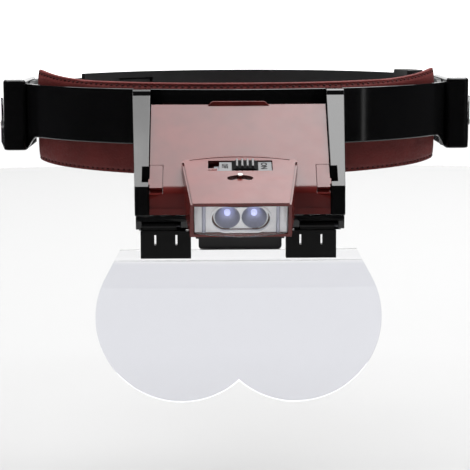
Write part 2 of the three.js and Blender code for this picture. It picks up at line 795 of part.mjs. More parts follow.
/** Burgundy roof and front wall over the cells, with its finger tab. */
function batteryCover() {
  const halfWidth = trayHalfWidth - runningGap;
  const thickness = coverWall / Math.cos(roofAngle);
  const innerFrontY = roofFrontY - coverLipDepth + coverWall;
  const frontY = roofFrontY - coverLipDepth;
  const profile = [
    [roofBackY, roofBackZ], [roofFrontY, roofFrontZ], [frontY, roofFrontZ - coverLipDepth],
    [frontY, coverFrontBottom + coverLipHeight],
    [frontY - coverLipDepth, coverFrontBottom + coverLipHeight],
    [frontY - coverLipDepth, coverFrontBottom], [innerFrontY, coverFrontBottom],
    [innerFrontY, roofHeight(innerFrontY) - thickness], [roofBackY, roofBackZ - thickness],
  ];
  const skirtProfile = [
    [roofBackY - coverWall, roofHeight(roofBackY - coverWall) - thickness / 2],
    [innerFrontY, roofHeight(innerFrontY) - thickness / 2],
    [innerFrontY, roofHeight(innerFrontY) - thickness - coverSkirtDepth / 2],
    [roofBackY - coverWall, roofHeight(roofBackY - coverWall) - thickness - coverSkirtDepth],
  ];
  const shell = prism('x', profile, -halfWidth, halfWidth);
  const skirts = bothSides(prism('x', skirtProfile, halfWidth - coverSkirtWall, halfWidth));
  const body = union(shell, skirts, fingerTab()).subtract(bothSides(catchPocket()));
  return piece('battery_cover', body.subtract(switchHole()), 0x5a2026, 0.35);
}

/** Raised tab at the roof's upper edge, narrower at its top. */
function fingerTab() {
  const front = roofBackY - tabDepth;
  const foot = roofHeight(front) - coverWall / 2;
  const top = roofBackZ + tabHeight;
  const outline = [[-tabHalfWidth, foot], [tabHalfWidth, foot], [tabTopHalfWidth, top], [-tabTopHalfWidth, top]];
  return prism('y', outline, front, roofBackY);
}

/** Turns a solid made flat, with y up the slope and z square to it, onto the roof's slope. */
function onRoof(solid) {
  return solid.rotate([roofAngle / degrees, 0, 0]).translate([0, roofBackY, roofBackZ]);
}

const roofLength = (roofBackZ - roofFrontZ) / Math.sin(roofAngle);

/** Room for a catch at the roof's lower corner. */
function catchPocket() {
  const halfWidth = trayHalfWidth - runningGap;
  return onRoof(block([halfWidth - catchWidth - fitGap, -roofLength - cutOverrun, -catchThickness - fitGap],
    [halfWidth + cutOverrun, -roofLength + catchLength + fitGap, cutOverrun]));
}

/** Snap catch: a tongue in the roof's corner with a hook in the cheek's notch. */
function coverCatch(name, side) {
  const halfWidth = trayHalfWidth - runningGap;
  const front = -roofLength + fitGap;
  const hookFront = front + catchHookInset;
  const hookLength = catchLength / 4;
  const tongue = onRoof(block([halfWidth - catchWidth, front, -catchThickness],
    [halfWidth, -roofLength + catchLength, 0]));
  const hook = onRoof(block([halfWidth - catchThickness, hookFront, -catchThickness],
    [halfWidth + catchHookDepth, hookFront + hookLength, 0]));
  const whole = union(tongue, hook);
  return piece(name, side > 0 ? whole : mirrored(whole), 0x5a2026, 0.35);
}

/** Opening in the roof that the switch hangs through and its wires pass. */
function switchHole() {
  const middle = (slotFront + slotBack) / 2;
  const room = block([-switchBodyLength / 2 - fitGap, middle - switchBodyDepth / 2 - fitGap, -lampHeight],
    [switchBodyLength / 2 + fitGap, middle + switchBodyDepth / 2 + fitGap, 0]);
  return room.rotate([lampSlopeDegrees, 0, 0]).translate([0, lampPivotY, lampPivotZ]);
}

/** Half width of the lamp head at a place along its slope. */
function lampHalfWidth(y) {
  const share = (y + lampFrontReach) / (lampFrontReach + lampBackReach);
  return lampFrontHalfWidth + (lampBackHalfWidth - lampFrontHalfWidth) * share;
}

/** Outline of the lamp head seen square to its top, drawn in by a wall. */
function lampPlan(inset) {
  const back = lampBackReach - inset;
  const front = -lampFrontReach + inset;
  const backWidth = lampHalfWidth(back) - inset;
  const frontWidth = lampHalfWidth(front) - inset;
  const round = lampCornerRound;
  const chord = backWidth - round;
  const steps = 12;
  const backArc = Array.from({ length: steps + 1 }, (unused, step) => {
    const across = 1 - 2 * step / steps;
    return [chord * across, back + lampBackBulge * (1 - across ** 2)];
  });
  return [
    [-frontWidth, front], [frontWidth, front],
    ...arc([backWidth - round, back - round], round, 0, 90 - lampCornerCutDegrees, 4),
    ...backArc,
    ...arc([-backWidth + round, back - round], round, 90 + lampCornerCutDegrees, 180, 4),
  ];
}

/** Side view of the lamp head: it sits on the roof, and the visor slants back to its lower edge. */
function lampSide(inset) {
  const onRoofLine = (y) => lampLocal(y, roofHeight(y) + lampSeatGap);
  const wall = lampLocal(roofFrontY - coverLipDepth * 2 - fitGap, coverFrontBottom);
  const corner = onRoofLine(roofFrontY - coverLipDepth * 2);
  const far = onRoofLine(roofBackY);
  const top = inset ? -lampPlate : 0;
  const bottom = -lampHeight + inset;
  const backShare = (top - corner[1]) / (far[1] - corner[1]);
  return [
    [-lampFrontReach + inset, top],
    [-lampFrontReach + visorReach + inset, bottom],
    [wall[0] + (bottom - wall[1]) * Math.tan(lampSlopeDegrees * degrees), bottom],
    corner,
    [corner[0] + (far[0] - corner[0]) * backShare, top],
  ];
}

/** Slot in the top plate that the lever sweeps through. */
function leverSlot() {
  const gap = leverPinRadius + leverSlotGap;
  const outer = arc([0, 0], leverArm + gap, 90 - leverSlotDegrees, 90 + leverSlotDegrees, 10);
  const inner = arc([0, 0], leverArm - gap, 90 + leverSlotDegrees, 90 - leverSlotDegrees, 10);
  const ends = [-1, 1].map((side) => {
    const angle = leverSlotDegrees * side * degrees;
    const centre = [leverArm * Math.sin(angle), leverArm * Math.cos(angle)];
    return rod('z', centre, gap, -lampPlate - cutOverrun, cutOverrun, 16);
  });
  const sweep = prism('z', [...outer, ...inner], -lampPlate - cutOverrun, cutOverrun);
  return union(sweep, ...ends);
}

/** Curved outline of the lamp window, at a distance behind its outer surface. */
function windowArc(inset, halfWidth) {
  const frame = -lampFrontReach + visorReach;
  return Array.from({ length: windowSteps + 1 }, (unused, step) => {
    const across = 2 * step / windowSteps - 1;
    return [halfWidth * across, frame - windowBulge * (1 - across ** 2) + inset];
  });
}

const windowHalfWidth = lampFrontHalfWidth - windowSideWidth;
const windowTop = -lampPlate - fitGap;
const windowBottom = -lampHeight + windowBottomRim;

/** Shell of the lamp head. */
function lampHousing() {
  const outside = prism('z', lampPlan(0), -lampHeight * 2, 0)
    .intersect(prism('x', lampSide(0), -lampBackHalfWidth - cutOverrun, lampBackHalfWidth + cutOverrun));
  const inside = prism('z', lampPlan(lampWall), -lampHeight * 2, -lampPlate)
    .intersect(prism('x', lampSide(lampWall), -lampBackHalfWidth, lampBackHalfWidth));
  const opening = block([-windowHalfWidth - fitGap, -lampFrontReach - cutOverrun * 2, windowBottom - fitGap],
    [windowHalfWidth + fitGap, -lampFrontReach + visorReach + lampWall * 2, -lampPlate]);
  const switchSlot = block([slotLeft, slotFront, -lampPlate - cutOverrun], [slotRight, slotBack, cutOverrun]);
  const shell = outside.subtract(inside).subtract(opening).subtract(switchSlot).subtract(leverSlot());
  const seat = rod('z', [0, 0], unitPegRadius + fitGap + lampWall, -lampPlate - fitGap * 4, -lampPlate / 2, 20);
  const bore = rod('z', [0, 0], unitPegRadius + fitGap, -lampPlate - cutOverrun * 2, -lampPlate * 0.6, 20);
  return piece('lamp_housing', shell.add(seat).subtract(bore).subtract(leverSlot()), 0x5a2026, 0.35);
}

/** Clear bulging window. */
function lampWindow() {
  const outer = windowArc(0, windowHalfWidth);
  const inner = windowArc(windowWall, windowHalfWidth).reverse();
  return piece('lamp_window', prism('z', [...outer, ...inner], windowBottom, windowTop), 0xe8eaf0, 0.05);
}

/** Fixed pale panel behind the window, open where the cups look out. */
function lampBezel() {
  const inset = windowWall + fitGap;
  const outer = windowArc(inset, windowHalfWidth);
  const inner = windowArc(inset + bezelThickness, windowHalfWidth).reverse();
  const panel = prism('z', [...outer, ...inner], windowBottom, windowTop);
  const middleZ = -lampPlate - unitHeadroom - unitHeight / 2;
  const chord = bezelHalfWidth - bezelRadius;
  const outline = [
    ...arc([chord, middleZ], bezelRadius, -90, 90, 12),
    ...arc([-chord, middleZ], bezelRadius, 90, 270, 12),
  ];
  const opening = prism('y', outline, -lampFrontReach - cutOverrun, 0);
  return piece('lamp_bezel', panel.subtract(opening), 0xd6d6da, 0.3);
}

/** Block of the light unit with its two round cups, and the peg that it turns on. */
function reflectorUnit() {
  const top = -lampPlate - unitHeadroom;
  const body = block([-unitHalfWidth, -unitFrontReach, top - unitHeight], [unitHalfWidth, unitBackReach, top]);
  const middleZ = top - unitHeight / 2;
  let whole = body;
  for (const side of [-1, 1]) {
    const centre = [side * reflectorSpacing / 2, middleZ];
    whole = whole.subtract(rod('y', centre, reflectorRadius, -unitFrontReach - cutOverrun,
      -unitFrontReach + reflectorDepth, 24));
    whole = whole.subtract(rod('y', centre, ledRadius + fitGap, -unitFrontReach, unitBackReach + cutOverrun, 12));
  }
  const peg = rod('z', [0, 0], unitPegRadius, top - weldDistance, -lampPlate * 0.6 - fitGap, 20);
  const arm = block([-leverPinRadius * 1.6, 0, top - boardThickness],
    [leverPinRadius * 1.6, leverArm + leverPinRadius * 2.4, top]);
  const socket = rod('z', [0, leverArm], leverPinRadius + fitGap, top - cutOverrun, top + cutOverrun, 12);
  return piece('reflector_unit', union(whole, peg, arm).subtract(socket), 0xc8cad0, 0.2, 0.6);
}

/** One light in the bottom of its cup. */
function led(name, side) {
  const top = -lampPlate - unitHeadroom;
  const centre = [side * reflectorSpacing / 2, top - unitHeight / 2];
  const front = -unitFrontReach + reflectorDepth - ledLength / 2;
  return piece(name, rod('y', centre, ledRadius, front, front + ledLength * 1.4, 12), 0xf4f4ff, 0.1);
}

/** Board behind the light unit. */
function ledBoard() {
  const top = -lampPlate - unitHeadroom;
  const front = unitBackReach + fitGap;
  return piece('led_board', block([-unitHalfWidth * 0.65, front, top - unitHeight * 0.9],
    [unitHalfWidth * 0.65, front + boardThickness, top - unitHeight * 0.25]), 0x1f5a34, 0.5);
}

/** Chrome pin that turns the light unit through the slot. */
function beamLever() {
  const top = -lampPlate - unitHeadroom;
  const pin = rod('z', [0, leverArm], leverPinRadius, top - boardThickness, leverHeadHeight / 2, 12);
  const head = rod('z', [0, leverArm], leverHeadRadius, fitGap, fitGap + leverHeadHeight, 20);
  return piece('beam_lever', union(pin, head), 0xe4e6ea, 0.12, 1);
}

const switchTop = -switchPlateRecess;
const platesFront = slotFront + fitGap;
const platesBack = slotBack - fitGap;

/** White sliding plate below the knob, with a lug into the switch. */
function switchPlate() {
  const left = slotLeft + switchTravel + fitGap;
  const plate = block([left, platesFront, switchTop - switchPlateThickness],
    [slotRight - fitGap, platesBack, switchTop]);
  const middle = (platesFront + platesBack) / 2;
  const lug = block([knobLeft + knobWidth / 2 - switchPlateThickness, middle - switchPlateThickness,
    switchTop - switchPlateThickness * 3],
  [knobLeft + knobWidth / 2 + switchPlateThickness, middle + switchPlateThickness, switchTop]);
  return piece('switch_plate', union(plate, lug), 0xd8d4d2, 0.5);
}

/** Ridged black knob. */
function switchKnob() {
  const bottom = switchTop + fitGap;
  const base = block([knobLeft, platesFront, bottom], [knobLeft + knobWidth, platesBack, bottom + knobHeight]);
  const ridges = Array.from({ length: knobRidges }, (unused, number) => {
    const middle = knobLeft + knobWidth * (number + 0.5) / knobRidges;
    return block([middle - knobRidgeWidth / 2, platesFront, bottom],
      [middle + knobRidgeWidth / 2, platesBack, bottom + knobHeight + knobRidgeHeight]);
  });
  return piece('switch_knob', union(base, ...ridges), 0x0c0c0e, 0.35);
}

/** Slide switch below the plate. */
function switchBody() {
  const top = switchTop - switchPlateThickness - fitGap;
  const middle = (platesFront + platesBack) / 2;
  const body = block([-switchBodyLength / 2, middle - switchBodyDepth / 2, top - switchBodyHeight],
    [switchBodyLength / 2, middle + switchBodyDepth / 2, top]);
  const groove = block(
    [knobLeft + knobWidth / 2 - switchPlateThickness - switchTravel - fitGap, middle - switchPlateThickness - fitGap,
      top - switchPlateThickness * 2 - fitGap],
    [knobLeft + knobWidth / 2 + switchPlateThickness + fitGap, middle + switchPlateThickness + fitGap,
      top + cutOverrun],
  );
  return piece('switch_body', body.subtract(groove), 0x8a8d92, 0.4, 0.6);
}

/** Bar below the tray with two lugs for the hinge pin. */
function hingeBracket(name, side) {
  const front = hingeY - bracketFrontReach;
  const plate = block([bracketInner, front, bracketBottom],
    [bracketOuter, hingeY + bracketBackReach, bracketTop]);
  const lugProfile = [
    [front, bracketBottom], [hingeY - lugRadius, hingeZ],
    ...arc([hingeY, hingeZ], lugRadius, 180, 360, 10),
    [hingeY + lugRadius, hingeZ], [hingeY + lugRadius * 2, bracketBottom],
    [hingeY + lugRadius * 2, bracketBottom + weldDistance], [front, bracketBottom + weldDistance],
  ];
  const innerLug = prism('x', lugProfile, bracketInner, bracketInner + innerLugWidth);
  const outerLug = prism('x', lugProfile, bracketOuter - outerLugWidth, bracketOuter);
  const bore = rod('x', [hingeY, hingeZ], hingePinRadius + fitGap, bracketInner - cutOverrun,
    bracketOuter + cutOverrun, 16);
  let whole = union(plate, innerLug, outerLug).subtract(bore);
  for (const [x, y] of screwPlaces.slice(0, 2)) {
    whole = whole.subtract(rod('z', [x, y], screwRadius + fitGap, bracketBottom - cutOverrun, bracketTop + cutOverrun, 12));
  }
  return piece(name, side > 0 ? whole : mirrored(whole), 0x0f0f11, 0.3);
}

/** Steel pin through two lugs and a clip's barrel. */
function hingePin(name, side) {
  const pin = rod('x', [hingeY, hingeZ], hingePinRadius, bracketInner + fitGap, bracketOuter - fitGap, 16);
  return piece(name, side > 0 ? pin : mirrored(pin), 0xb8bcc2, 0.25, 1);
}

/** Grey plate between the clips, which the lens rests against. */
function lensStop() {
  const front = hingeY + lensThickness / 2 + stopLensGap;
  const round = stopCornerRound;
  const outline = [
    [stopHalfWidth, bracketTop], [stopHalfWidth, stopShoulder], [stopTongueHalfWidth, stopShoulder],
    ...arc([stopTongueHalfWidth - round, stopBottom + round], round, 0, -90, 6),
  ];
  const face = [...outline, ...outline.map(([x, z]) => [-x, z]).reverse()];
  const plate = prism('y', face, front, front + stopThickness);
  const flange = block([-stopHalfWidth, front, bracketBottom], [stopHalfWidth, hingeY + bracketBackReach, bracketTop]);
  const [x, y] = screwPlaces[2];
  const bores = bothSides(rod('z', [x, y], screwRadius + fitGap, bracketBottom - cutOverrun, bracketTop + cutOverrun, 12));
  return piece('lens_stop', union(plate, flange).subtract(bores), 0x2a2a2c, 0.6);
}

/** Screws that hold the brackets and the stop to the tray, their heads below. */
function undersideScrews() {
  const headTop = bracketBottom - fitGap;
  const screwLength = bracketPlate + trayFloor + fitGap;
  return screwPlaces.flatMap(([x, y], number) => [-1, 1].map((side) => {
    const shank = rod('z', [x * side, y], screwRadius, headTop - weldDistance, headTop + screwLength, 12);
    const head = rod('z', [x * side, y], screwHeadRadius, headTop - screwHeadHeight, headTop, 16);
    const name = `screw_${number + 1}_${side > 0 ? 'right' : 'left'}`;
    return piece(name, union(shank, head), 0xa8acb2, 0.3, 1);
  }));
}

/** Clip with its barrel and two jaws, in the hinge's own frame. */
function lensClip(name, side) {
  const thick = clipHalfThickness;
  const slotHalf = lensThickness / 2 + fitGap;
  const body = block([clipInner, -thick, clipBottom], [clipOuter, thick, clipTop]);
  const play = Math.abs(lensSideShift) + runningGap;
  const barrelFrom = bracketInner + innerLugWidth + play;
  const barrelTo = bracketOuter - outerLugWidth - play;
  const barrel = rod('x', [0, 0], lugRadius, barrelFrom, barrelTo, 20);
  const neck = block([barrelFrom, -lugRadius * 0.8, clipTop - clipJaw], [barrelTo, lugRadius * 0.8, 0]);
  const slot = block([clipInner - cutOverrun, -slotHalf, clipBottom - cutOverrun],
    [clipOuter + cutOverrun, slotHalf, lensTop + fitGap]);
  const bore = rod('x', [0, 0], hingePinRadius + fitGap, barrelFrom - cutOverrun, barrelTo + cutOverrun, 16);
  let whole = union(body, barrel, neck).subtract(slot).subtract(bore);
  const width = clipOuter - clipInner;
  for (const share of [clipSlitShare, 1 - clipSlitShare]) {
    const middle = clipInner + width * share;
    whole = whole.subtract(block([middle - clipSlitWidth / 2, -thick - cutOverrun, clipSlitBottom],
      [middle + clipSlitWidth / 2, thick + cutOverrun, clipSlitTop]));
  }
  return piece(name, side > 0 ? whole : mirrored(whole), 0x0a0a0c, 0.35);
}

/** Outline of the two-lobed lens below its hinge, as seen from the front. */
function lensOutline() {
  const centreX = lensLobeSpacing / 2;
  const centreZ = -lensCentreDrop;
  const notch = Math.acos(centreX / lensLobeRadius) / degrees;
  const toCorner = [lensTopHalfWidth - centreX, lensTop - centreZ];
  const cornerAngle = Math.atan2(toCorner[1], toCorner[0]) / degrees;
  const tangent = Math.acos(lensLobeRadius / Math.hypot(...toCorner)) / degrees;
  const right = arc([centreX, centreZ], lensLobeRadius, cornerAngle - tangent, notch - 180, lensSteps);
  const half = [[lensTopHalfWidth, lensTop], ...right];
  return [...half, ...half.slice(0, -1).map(([x, z]) => [-x, z]).reverse()];
}

/** Gentle dome over the front of the lens, as a slice of a ball. */
function lensDomeCap() {
  const reach = lensLobeSpacing / 2 + lensLobeRadius;
  const ballRadius = (reach ** 2 + lensDome ** 2) / (2 * lensDome);
  const rings = 10;
  const profile = [new THREE.Vector2(0, -cutOverrun / 2)];
  profile.push(new THREE.Vector2(reach, -cutOverrun / 2));
  for (let ring = 0; ring <= rings; ring += 1) {
    const radius = reach * (1 - ring / rings);
    profile.push(new THREE.Vector2(radius, Math.sqrt(ballRadius ** 2 - radius ** 2) - ballRadius + lensDome));
  }
  const cap = new THREE.LatheGeometry(profile, 64).rotateX(Math.PI)
    .translate(0, -lensThickness / 2, -lensCentreDrop);
  return solidFrom(cap);
}

/** Clear plate with a plain flange above its lens. */
function lensPlate() {
  const slab = prism('y', lensOutline(), -lensThickness / 2, lensThickness / 2);
  const domed = prism('y', lensOutline(), -lensThickness / 2 - lensDome * 2, lensThickness / 2)
    .intersect(lensDomeCap());
  const flangeRoom = block(
    [-lensTopHalfWidth * 2, -lensThickness * 4, lensTop - lensFlange],
    [lensTopHalfWidth * 2, -lensThickness / 2, cutOverrun],
  );
  return piece('lens_plate', union(slab, domed.subtract(flangeRoom)), 0xe6e4ea, 0.05);
}

/** A group with its own origin, holding pieces that are drawn from that origin. */
function group(pieces, position = [0, 0, 0], tiltDegrees = 0) {
  const holder = new THREE.Group();
  holder.position.set(...position);
  holder.rotation.x = tiltDegrees * degrees;
  holder.add(...pieces);
  return holder;
}

const frameGroup = group([
  frontFrame(), browPad(), batteryBox(),
  cell(1, lowRear, 1), cell(2, lowFront, -1), cell(3, highRear, -1),
  contactSpring(1, lowRear, -1), contactSpring(2, lowFront, 1), contactSpring(3, highRear, 1),
  contactPlate('contact_bridge_left', [lowRear, lowFront], -1),
  contactPlate('contact_tab_left', [highRear], -1),
  contactPlate('contact_bridge_right', [lowRear, highRear], 1),
  contactPlate('contact_tab_right', [lowFront], 1),
  hingeBracket('hinge_bracket_left', -1), hingeBracket('hinge_bracket_right', 1),
  hingePin('hinge_pin_left', -1), hingePin('hinge_pin_right', 1),
  lensStop(), ...undersideScrews(),
]);
const strapGroup = group([
  rearStrapLeft(), rearStrapRight(), strapKeeper(), strapLatch(),
  templePivot('temple_pivot_left', -1), templePivot('temple_pivot_right', 1),
]);
const coverGroup = group([
  batteryCover(), coverCatch('cover_catch_left', -1), coverCatch('cover_catch_right', 1),
]);
const lampGroup = group([
  lampHousing(), lampWindow(), lampBezel(), reflectorUnit(), led('led_left', -1), led('led_right', 1), ledBoard(),
  beamLever(), switchPlate(), switchKnob(), switchBody(),
], [0, lampPivotY, lampPivotZ], lampSlopeDegrees);
const lensGroup = group([
  lensClip('lens_clip_left', -1), lensClip('lens_clip_right', 1), lensPlate(),
], [lensSideShift, hingeY, hingeZ]);

const magnifier = new THREE.Group();
magnifier.add(frameGroup, strapGroup, coverGroup, lampGroup, lensGroup);

export default magnifier;
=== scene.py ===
"""Dresses the headband magnifier: rounded mouldings, a sewn leather pad, a clear lens and a small lamp.

Sizes are in millimetres. X runs to the viewer's right, Y to the back of the head, Z up.
"""

import logging
import math
from dataclasses import dataclass
from enum import Enum
from typing import Callable, Sequence

import bpy
from mathutils import Matrix, Vector
from mathutils.bvhtree import BVHTree


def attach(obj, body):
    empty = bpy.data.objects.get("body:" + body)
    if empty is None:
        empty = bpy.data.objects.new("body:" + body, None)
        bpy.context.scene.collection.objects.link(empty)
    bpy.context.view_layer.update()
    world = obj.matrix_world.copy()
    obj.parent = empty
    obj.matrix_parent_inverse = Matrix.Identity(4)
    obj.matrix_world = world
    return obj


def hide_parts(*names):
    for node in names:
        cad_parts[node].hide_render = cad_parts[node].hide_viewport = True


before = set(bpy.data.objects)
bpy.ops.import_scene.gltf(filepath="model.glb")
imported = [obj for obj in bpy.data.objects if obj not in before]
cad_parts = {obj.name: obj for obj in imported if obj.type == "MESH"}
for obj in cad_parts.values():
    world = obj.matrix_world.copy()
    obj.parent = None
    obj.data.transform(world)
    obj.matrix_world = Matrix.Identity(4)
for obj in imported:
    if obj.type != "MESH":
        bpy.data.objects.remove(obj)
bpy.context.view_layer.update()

LOG = logging.getLogger("magnifier")
MM = 0.001
RING_CENTRE_Y = 3.0
Triple = tuple[float, float, float]
Colour = tuple[float, float, float]
Socket = bpy.types.NodeSocket
WHITE = (1.0, 1.0, 1.0, 1.0)
MERGE_DISTANCE = 0.004


class Body(Enum):
    """The moving groups of the magnifier."""

    FRAME = "frame"
    STRAP = "strap"
    LATCH = "latch"
    COVER = "cover"
    BEAM = "beam"
    SWITCH = "switch"
    LENS = "lens"


class Pick(Enum):
    """What is chosen in edit mode."""

    VERT = "VERT"
    EDGE = "EDGE"
    FACE = "FACE"


class Axis(Enum):
    """The axis that an outline is drawn square to."""

    X = 0
    Y = 1
    Z = 2

    def spot(self, across: float, up: float, along: float) -> Vector:
        """Gives a point of an outline.

        Args:
            across: Its first place in the outline.
            up: Its second place in the outline.
            along: Its place along the axis.

        Returns:
            The point.
        """
        return {
            Axis.X: Vector((along, across, up)),
            Axis.Y: Vector((across, along, up)),
            Axis.Z: Vector((across, up, along)),
        }[self]


class Side(Enum):
    """The viewer's left or right."""

    LEFT = -1
    RIGHT = 1


def put_down() -> None:
    """Leaves edit mode and deselects everything."""
    if bpy.context.object and bpy.context.object.mode != "OBJECT":
        bpy.ops.object.mode_set(mode="OBJECT")
    bpy.ops.object.select_all(action="DESELECT")


class Recipe:
    """A material in the making, with short ways to add and join nodes."""

    def __init__(self, name: str) -> None:
        """Starts a material.

        Args:
            name: The material's name.
        """
        self.material = bpy.data.materials.new(name)
        self.material.use_nodes = True
        self.tree = self.material.node_tree
        self.shader = self.tree.nodes["Principled BSDF"]

    def add(self, kind: str, inputs: dict[str, object] | None = None, **settings: object) -> bpy.types.Node:
        """Adds a node.

        Args:
            kind: The node's type.
            inputs: Values of its sockets by name.
            settings: Its other properties.

        Returns:
            The new node.
        """
        node = self.tree.nodes.new(kind)
        for name, value in settings.items():
            setattr(node, name, value)
        for name, value in (inputs or {}).items():
            node.inputs[name].default_value = value
        return node

    def link(self, source: Socket, target: Socket) -> None:
        """Joins two sockets."""
        self.tree.links.new(source, target)

    def place(self, scale: Triple = (1, 1, 1)) -> Socket:
        """Gives the piece's own coordinates in millimetres.

        Args:
            scale: Stretch along each axis.

        Returns:
            The vector socket.
        """
        coordinates = self.add("ShaderNodeTexCoord")
        mapping = self.add("ShaderNodeMapping", {"Scale": [factor / MM for factor in scale]})
        self.link(coordinates.outputs["Object"], mapping.inputs["Vector"])
        return mapping.outputs["Vector"]

    def along(self, axis: str) -> Socket:
        """Gives the place along one axis in millimetres.

        Args:
            axis: X, Y or Z.

        Returns:
            The socket of the place.
        """
        split = self.add("ShaderNodeSeparateXYZ")
        self.link(self.place(), split.inputs["Vector"])
        return split.outputs[axis]

    def noise(self, size: float, detail: float = 3.0, scale: Triple = (1, 1, 1)) -> Socket:
        """Gives a cloudy pattern.

        Args:
            size: Size of its lumps in millimetres.
            detail: How many finer layers it has.
            scale: Stretch along each axis.

        Returns:
            The socket of its value.
        """
        node = self.add("ShaderNodeTexNoise", {"Scale": 1.0 / size, "Detail": detail})
        self.link(self.place(scale), node.inputs["Vector"])
        return node.outputs["Fac"]

    def cells(self, size: float) -> Socket:
        """Gives a pebbled pattern with soft edges.

        Args:
            size: Size of its pebbles in millimetres.

        Returns:
            The socket of its distance.
        """
        node = self.add("ShaderNodeTexVoronoi", {"Scale": 1.0 / size}, feature="SMOOTH_F1")
        self.link(self.place(), node.inputs["Vector"])
        return node.outputs["Distance"]

    def paint(self, value: Socket, stops: Sequence[tuple[float, Colour]]) -> None:
        """Colours the shader by a value.

        Args:
            value: The value's socket.
            stops: Places along the value with their colours.
        """
        node = self.add("ShaderNodeValToRGB")
        elements = node.color_ramp.elements
        while len(elements) < len(stops):
            elements.new(0.5)
        for element, (place, colour) in zip(elements, stops):
            element.position = place
            element.color = (*colour, 1.0)
        self.link(value, node.inputs["Fac"])
        self.link(node.outputs["Color"], self.shader.inputs["Base Color"])

    def dull(self, value: Socket, low: float, spread: float) -> None:
        """Sets the shader's roughness by a pattern's usual values.

        Args:
            value: The pattern's socket.
            low: The least roughness.
            spread: What is added where the pattern is high.
        """
        limits = {"From Min": 0.3, "From Max": 0.7, "To Min": low, "To Max": low + spread}
        node = self.add("ShaderNodeMapRange", limits)
        self.link(value, node.inputs["Value"])
        self.link(node.outputs["Result"], self.shader.inputs["Roughness"])

    def bump(self, height: Socket, depth: float) -> None:
        """Adds relief to the shader, on top of any that it has.

        Args:
            height: The relief's socket.
            depth: Its depth in millimetres.
        """
        node = self.add("ShaderNodeBump", {"Strength": 1.0, "Distance": depth * MM})
        self.link(height, node.inputs["Height"])
        normal = self.shader.inputs["Normal"]
        if normal.is_linked:
            self.link(normal.links[0].from_socket, node.inputs["Normal"])
        self.link(node.outputs["Normal"], normal)

    def set(self, **values: object) -> None:
        """Sets the shader's sockets, with underscores for spaces in their names."""
        for name, value in values.items():
            self.shader.inputs[name.replace("_", " ")].default_value = value


@dataclass(frozen=True)
class Finish:
    """A finish: its name, the record's slot that it dresses, and how it is made."""

    title: str
    slot: str
    colour: Colour
    roughness: float

    def material(self) -> bpy.types.Material:
        """Gives the material, made on first use.

        Returns:
            The material.
        """
        known = bpy.data.materials.get(self.title)
        if known:
            return known
        recipe = Recipe(self.title)
        self.make(recipe)
        return recipe.material

    def shade(self, factor: float) -> Colour:
        """Gives its colour, darker below 1 and lighter above."""
        return tuple(part * factor for part in self.colour)

    def make(self, recipe: Recipe) -> None:
        """Fills in an empty recipe.

        Args:
            recipe: The empty recipe.
        """
        raise NotImplementedError


@dataclass(frozen=True)
class Moulded(Finish):
    """Moulded plastic: slight flow marks, a fine skin, a little handling wear, and a painted glow where glow is set.
    """

    skin: float = 0.006
    spread: float = 0.04
    gloss: float = 0.5
    # glow is painted light: an even white emission on plastic that is no lamp.
    glow: float = 0.0

    def make(self, recipe: Recipe) -> None:
        """Mixes cloudy flow marks, fine skin and faint scuffs, and adds the painted glow as white emission.

        Args:
            recipe: The empty recipe.
        """
        recipe.paint(recipe.noise(14.0, 4.0), [(0.35, self.shade(0.88)), (0.65, self.shade(1.12))])
        recipe.dull(recipe.noise(5.0, 5.0), self.roughness, self.spread)
        recipe.bump(recipe.noise(0.5, 2.0), self.skin)
        recipe.bump(recipe.noise(22.0, 1.0), self.skin * 6)
        recipe.set(Specular_IOR_Level=self.gloss, Emission_Color=WHITE, Emission_Strength=self.glow)


@dataclass(frozen=True)
class Leather(Finish):
    """Grained leather with a soft gloss."""

    pebble: float = 0.85

    def make(self, recipe: Recipe) -> None:
        """Lays pebbles and fine pores under a mottled colour.

        Args:
            recipe: The empty recipe.
        """
        stops = [(0.3, self.shade(0.8)), (0.55, self.colour), (0.8, self.shade(1.15))]
        recipe.paint(recipe.noise(9.0, 5.0), stops)
        recipe.dull(recipe.noise(1.6, 3.0), self.roughness, 0.16)
        recipe.bump(recipe.cells(self.pebble), 0.11)
        recipe.bump(recipe.noise(0.3, 2.0), 0.02)
        recipe.set(Specular_IOR_Level=0.2)


@dataclass(frozen=True)
class Metal(Finish):
    """Plated or drawn metal with fine lines along X."""

    lines: float = 0.004

    def make(self, recipe: Recipe) -> None:
        """Draws long fine lines and a cloudy polish.

        Args:
            recipe: The empty recipe.
        """
        drawn = recipe.noise(0.35, 2.0, (0.05, 1, 1))
        recipe.paint(drawn, [(0.3, self.shade(0.85)), (0.7, self.colour)])
        recipe.dull(drawn, self.roughness, 0.1)
        recipe.bump(drawn, self.lines)
        recipe.set(Metallic=1.0)


@dataclass(frozen=True)
class Clear(Finish):
    """Clear acrylic, painted a little greyer below a height than above it: painted shade on the domed part."""

    # lower is the colour below change_z; where it is greyer than the colour above, it is painted shade.
    lower: Colour = (0.79, 0.795, 0.84)
    change_z: float = -54.2

    def make(self, recipe: Recipe) -> None:
        """Paints shade by height and leaves faint handling haze.

        Args:
            recipe: The empty recipe.
        """
        limits = {"From Min": self.change_z - 1.5, "From Max": self.change_z + 0.5}
        height = recipe.add("ShaderNodeMapRange", limits)
        recipe.link(recipe.along("Z"), height.inputs["Value"])
        recipe.paint(height.outputs["Result"], [(0.0, self.lower), (1.0, self.colour)])
        recipe.dull(recipe.noise(18.0, 4.0), self.roughness, 0.02)
        recipe.set(Transmission_Weight=1.0, IOR=1.49)


@dataclass(frozen=True)
class Glow(Finish):
    """Cloudy bright plastic of a small lamp, lit faintly from inside."""

    light: Colour = (0.62, 0.66, 1.0)
    strength: float = 0.8

    def make(self, recipe: Recipe) -> None:
        """Gives a milky body with a cold core.

        Args:
            recipe: The empty recipe.
        """
        cloud = recipe.noise(0.8, 2.0)
        recipe.paint(cloud, [(0.3, self.shade(0.9)), (0.7, self.colour)])
        recipe.dull(cloud, self.roughness, 0.05)
        recipe.set(Emission_Color=(*self.light, 1.0), Emission_Strength=self.strength)


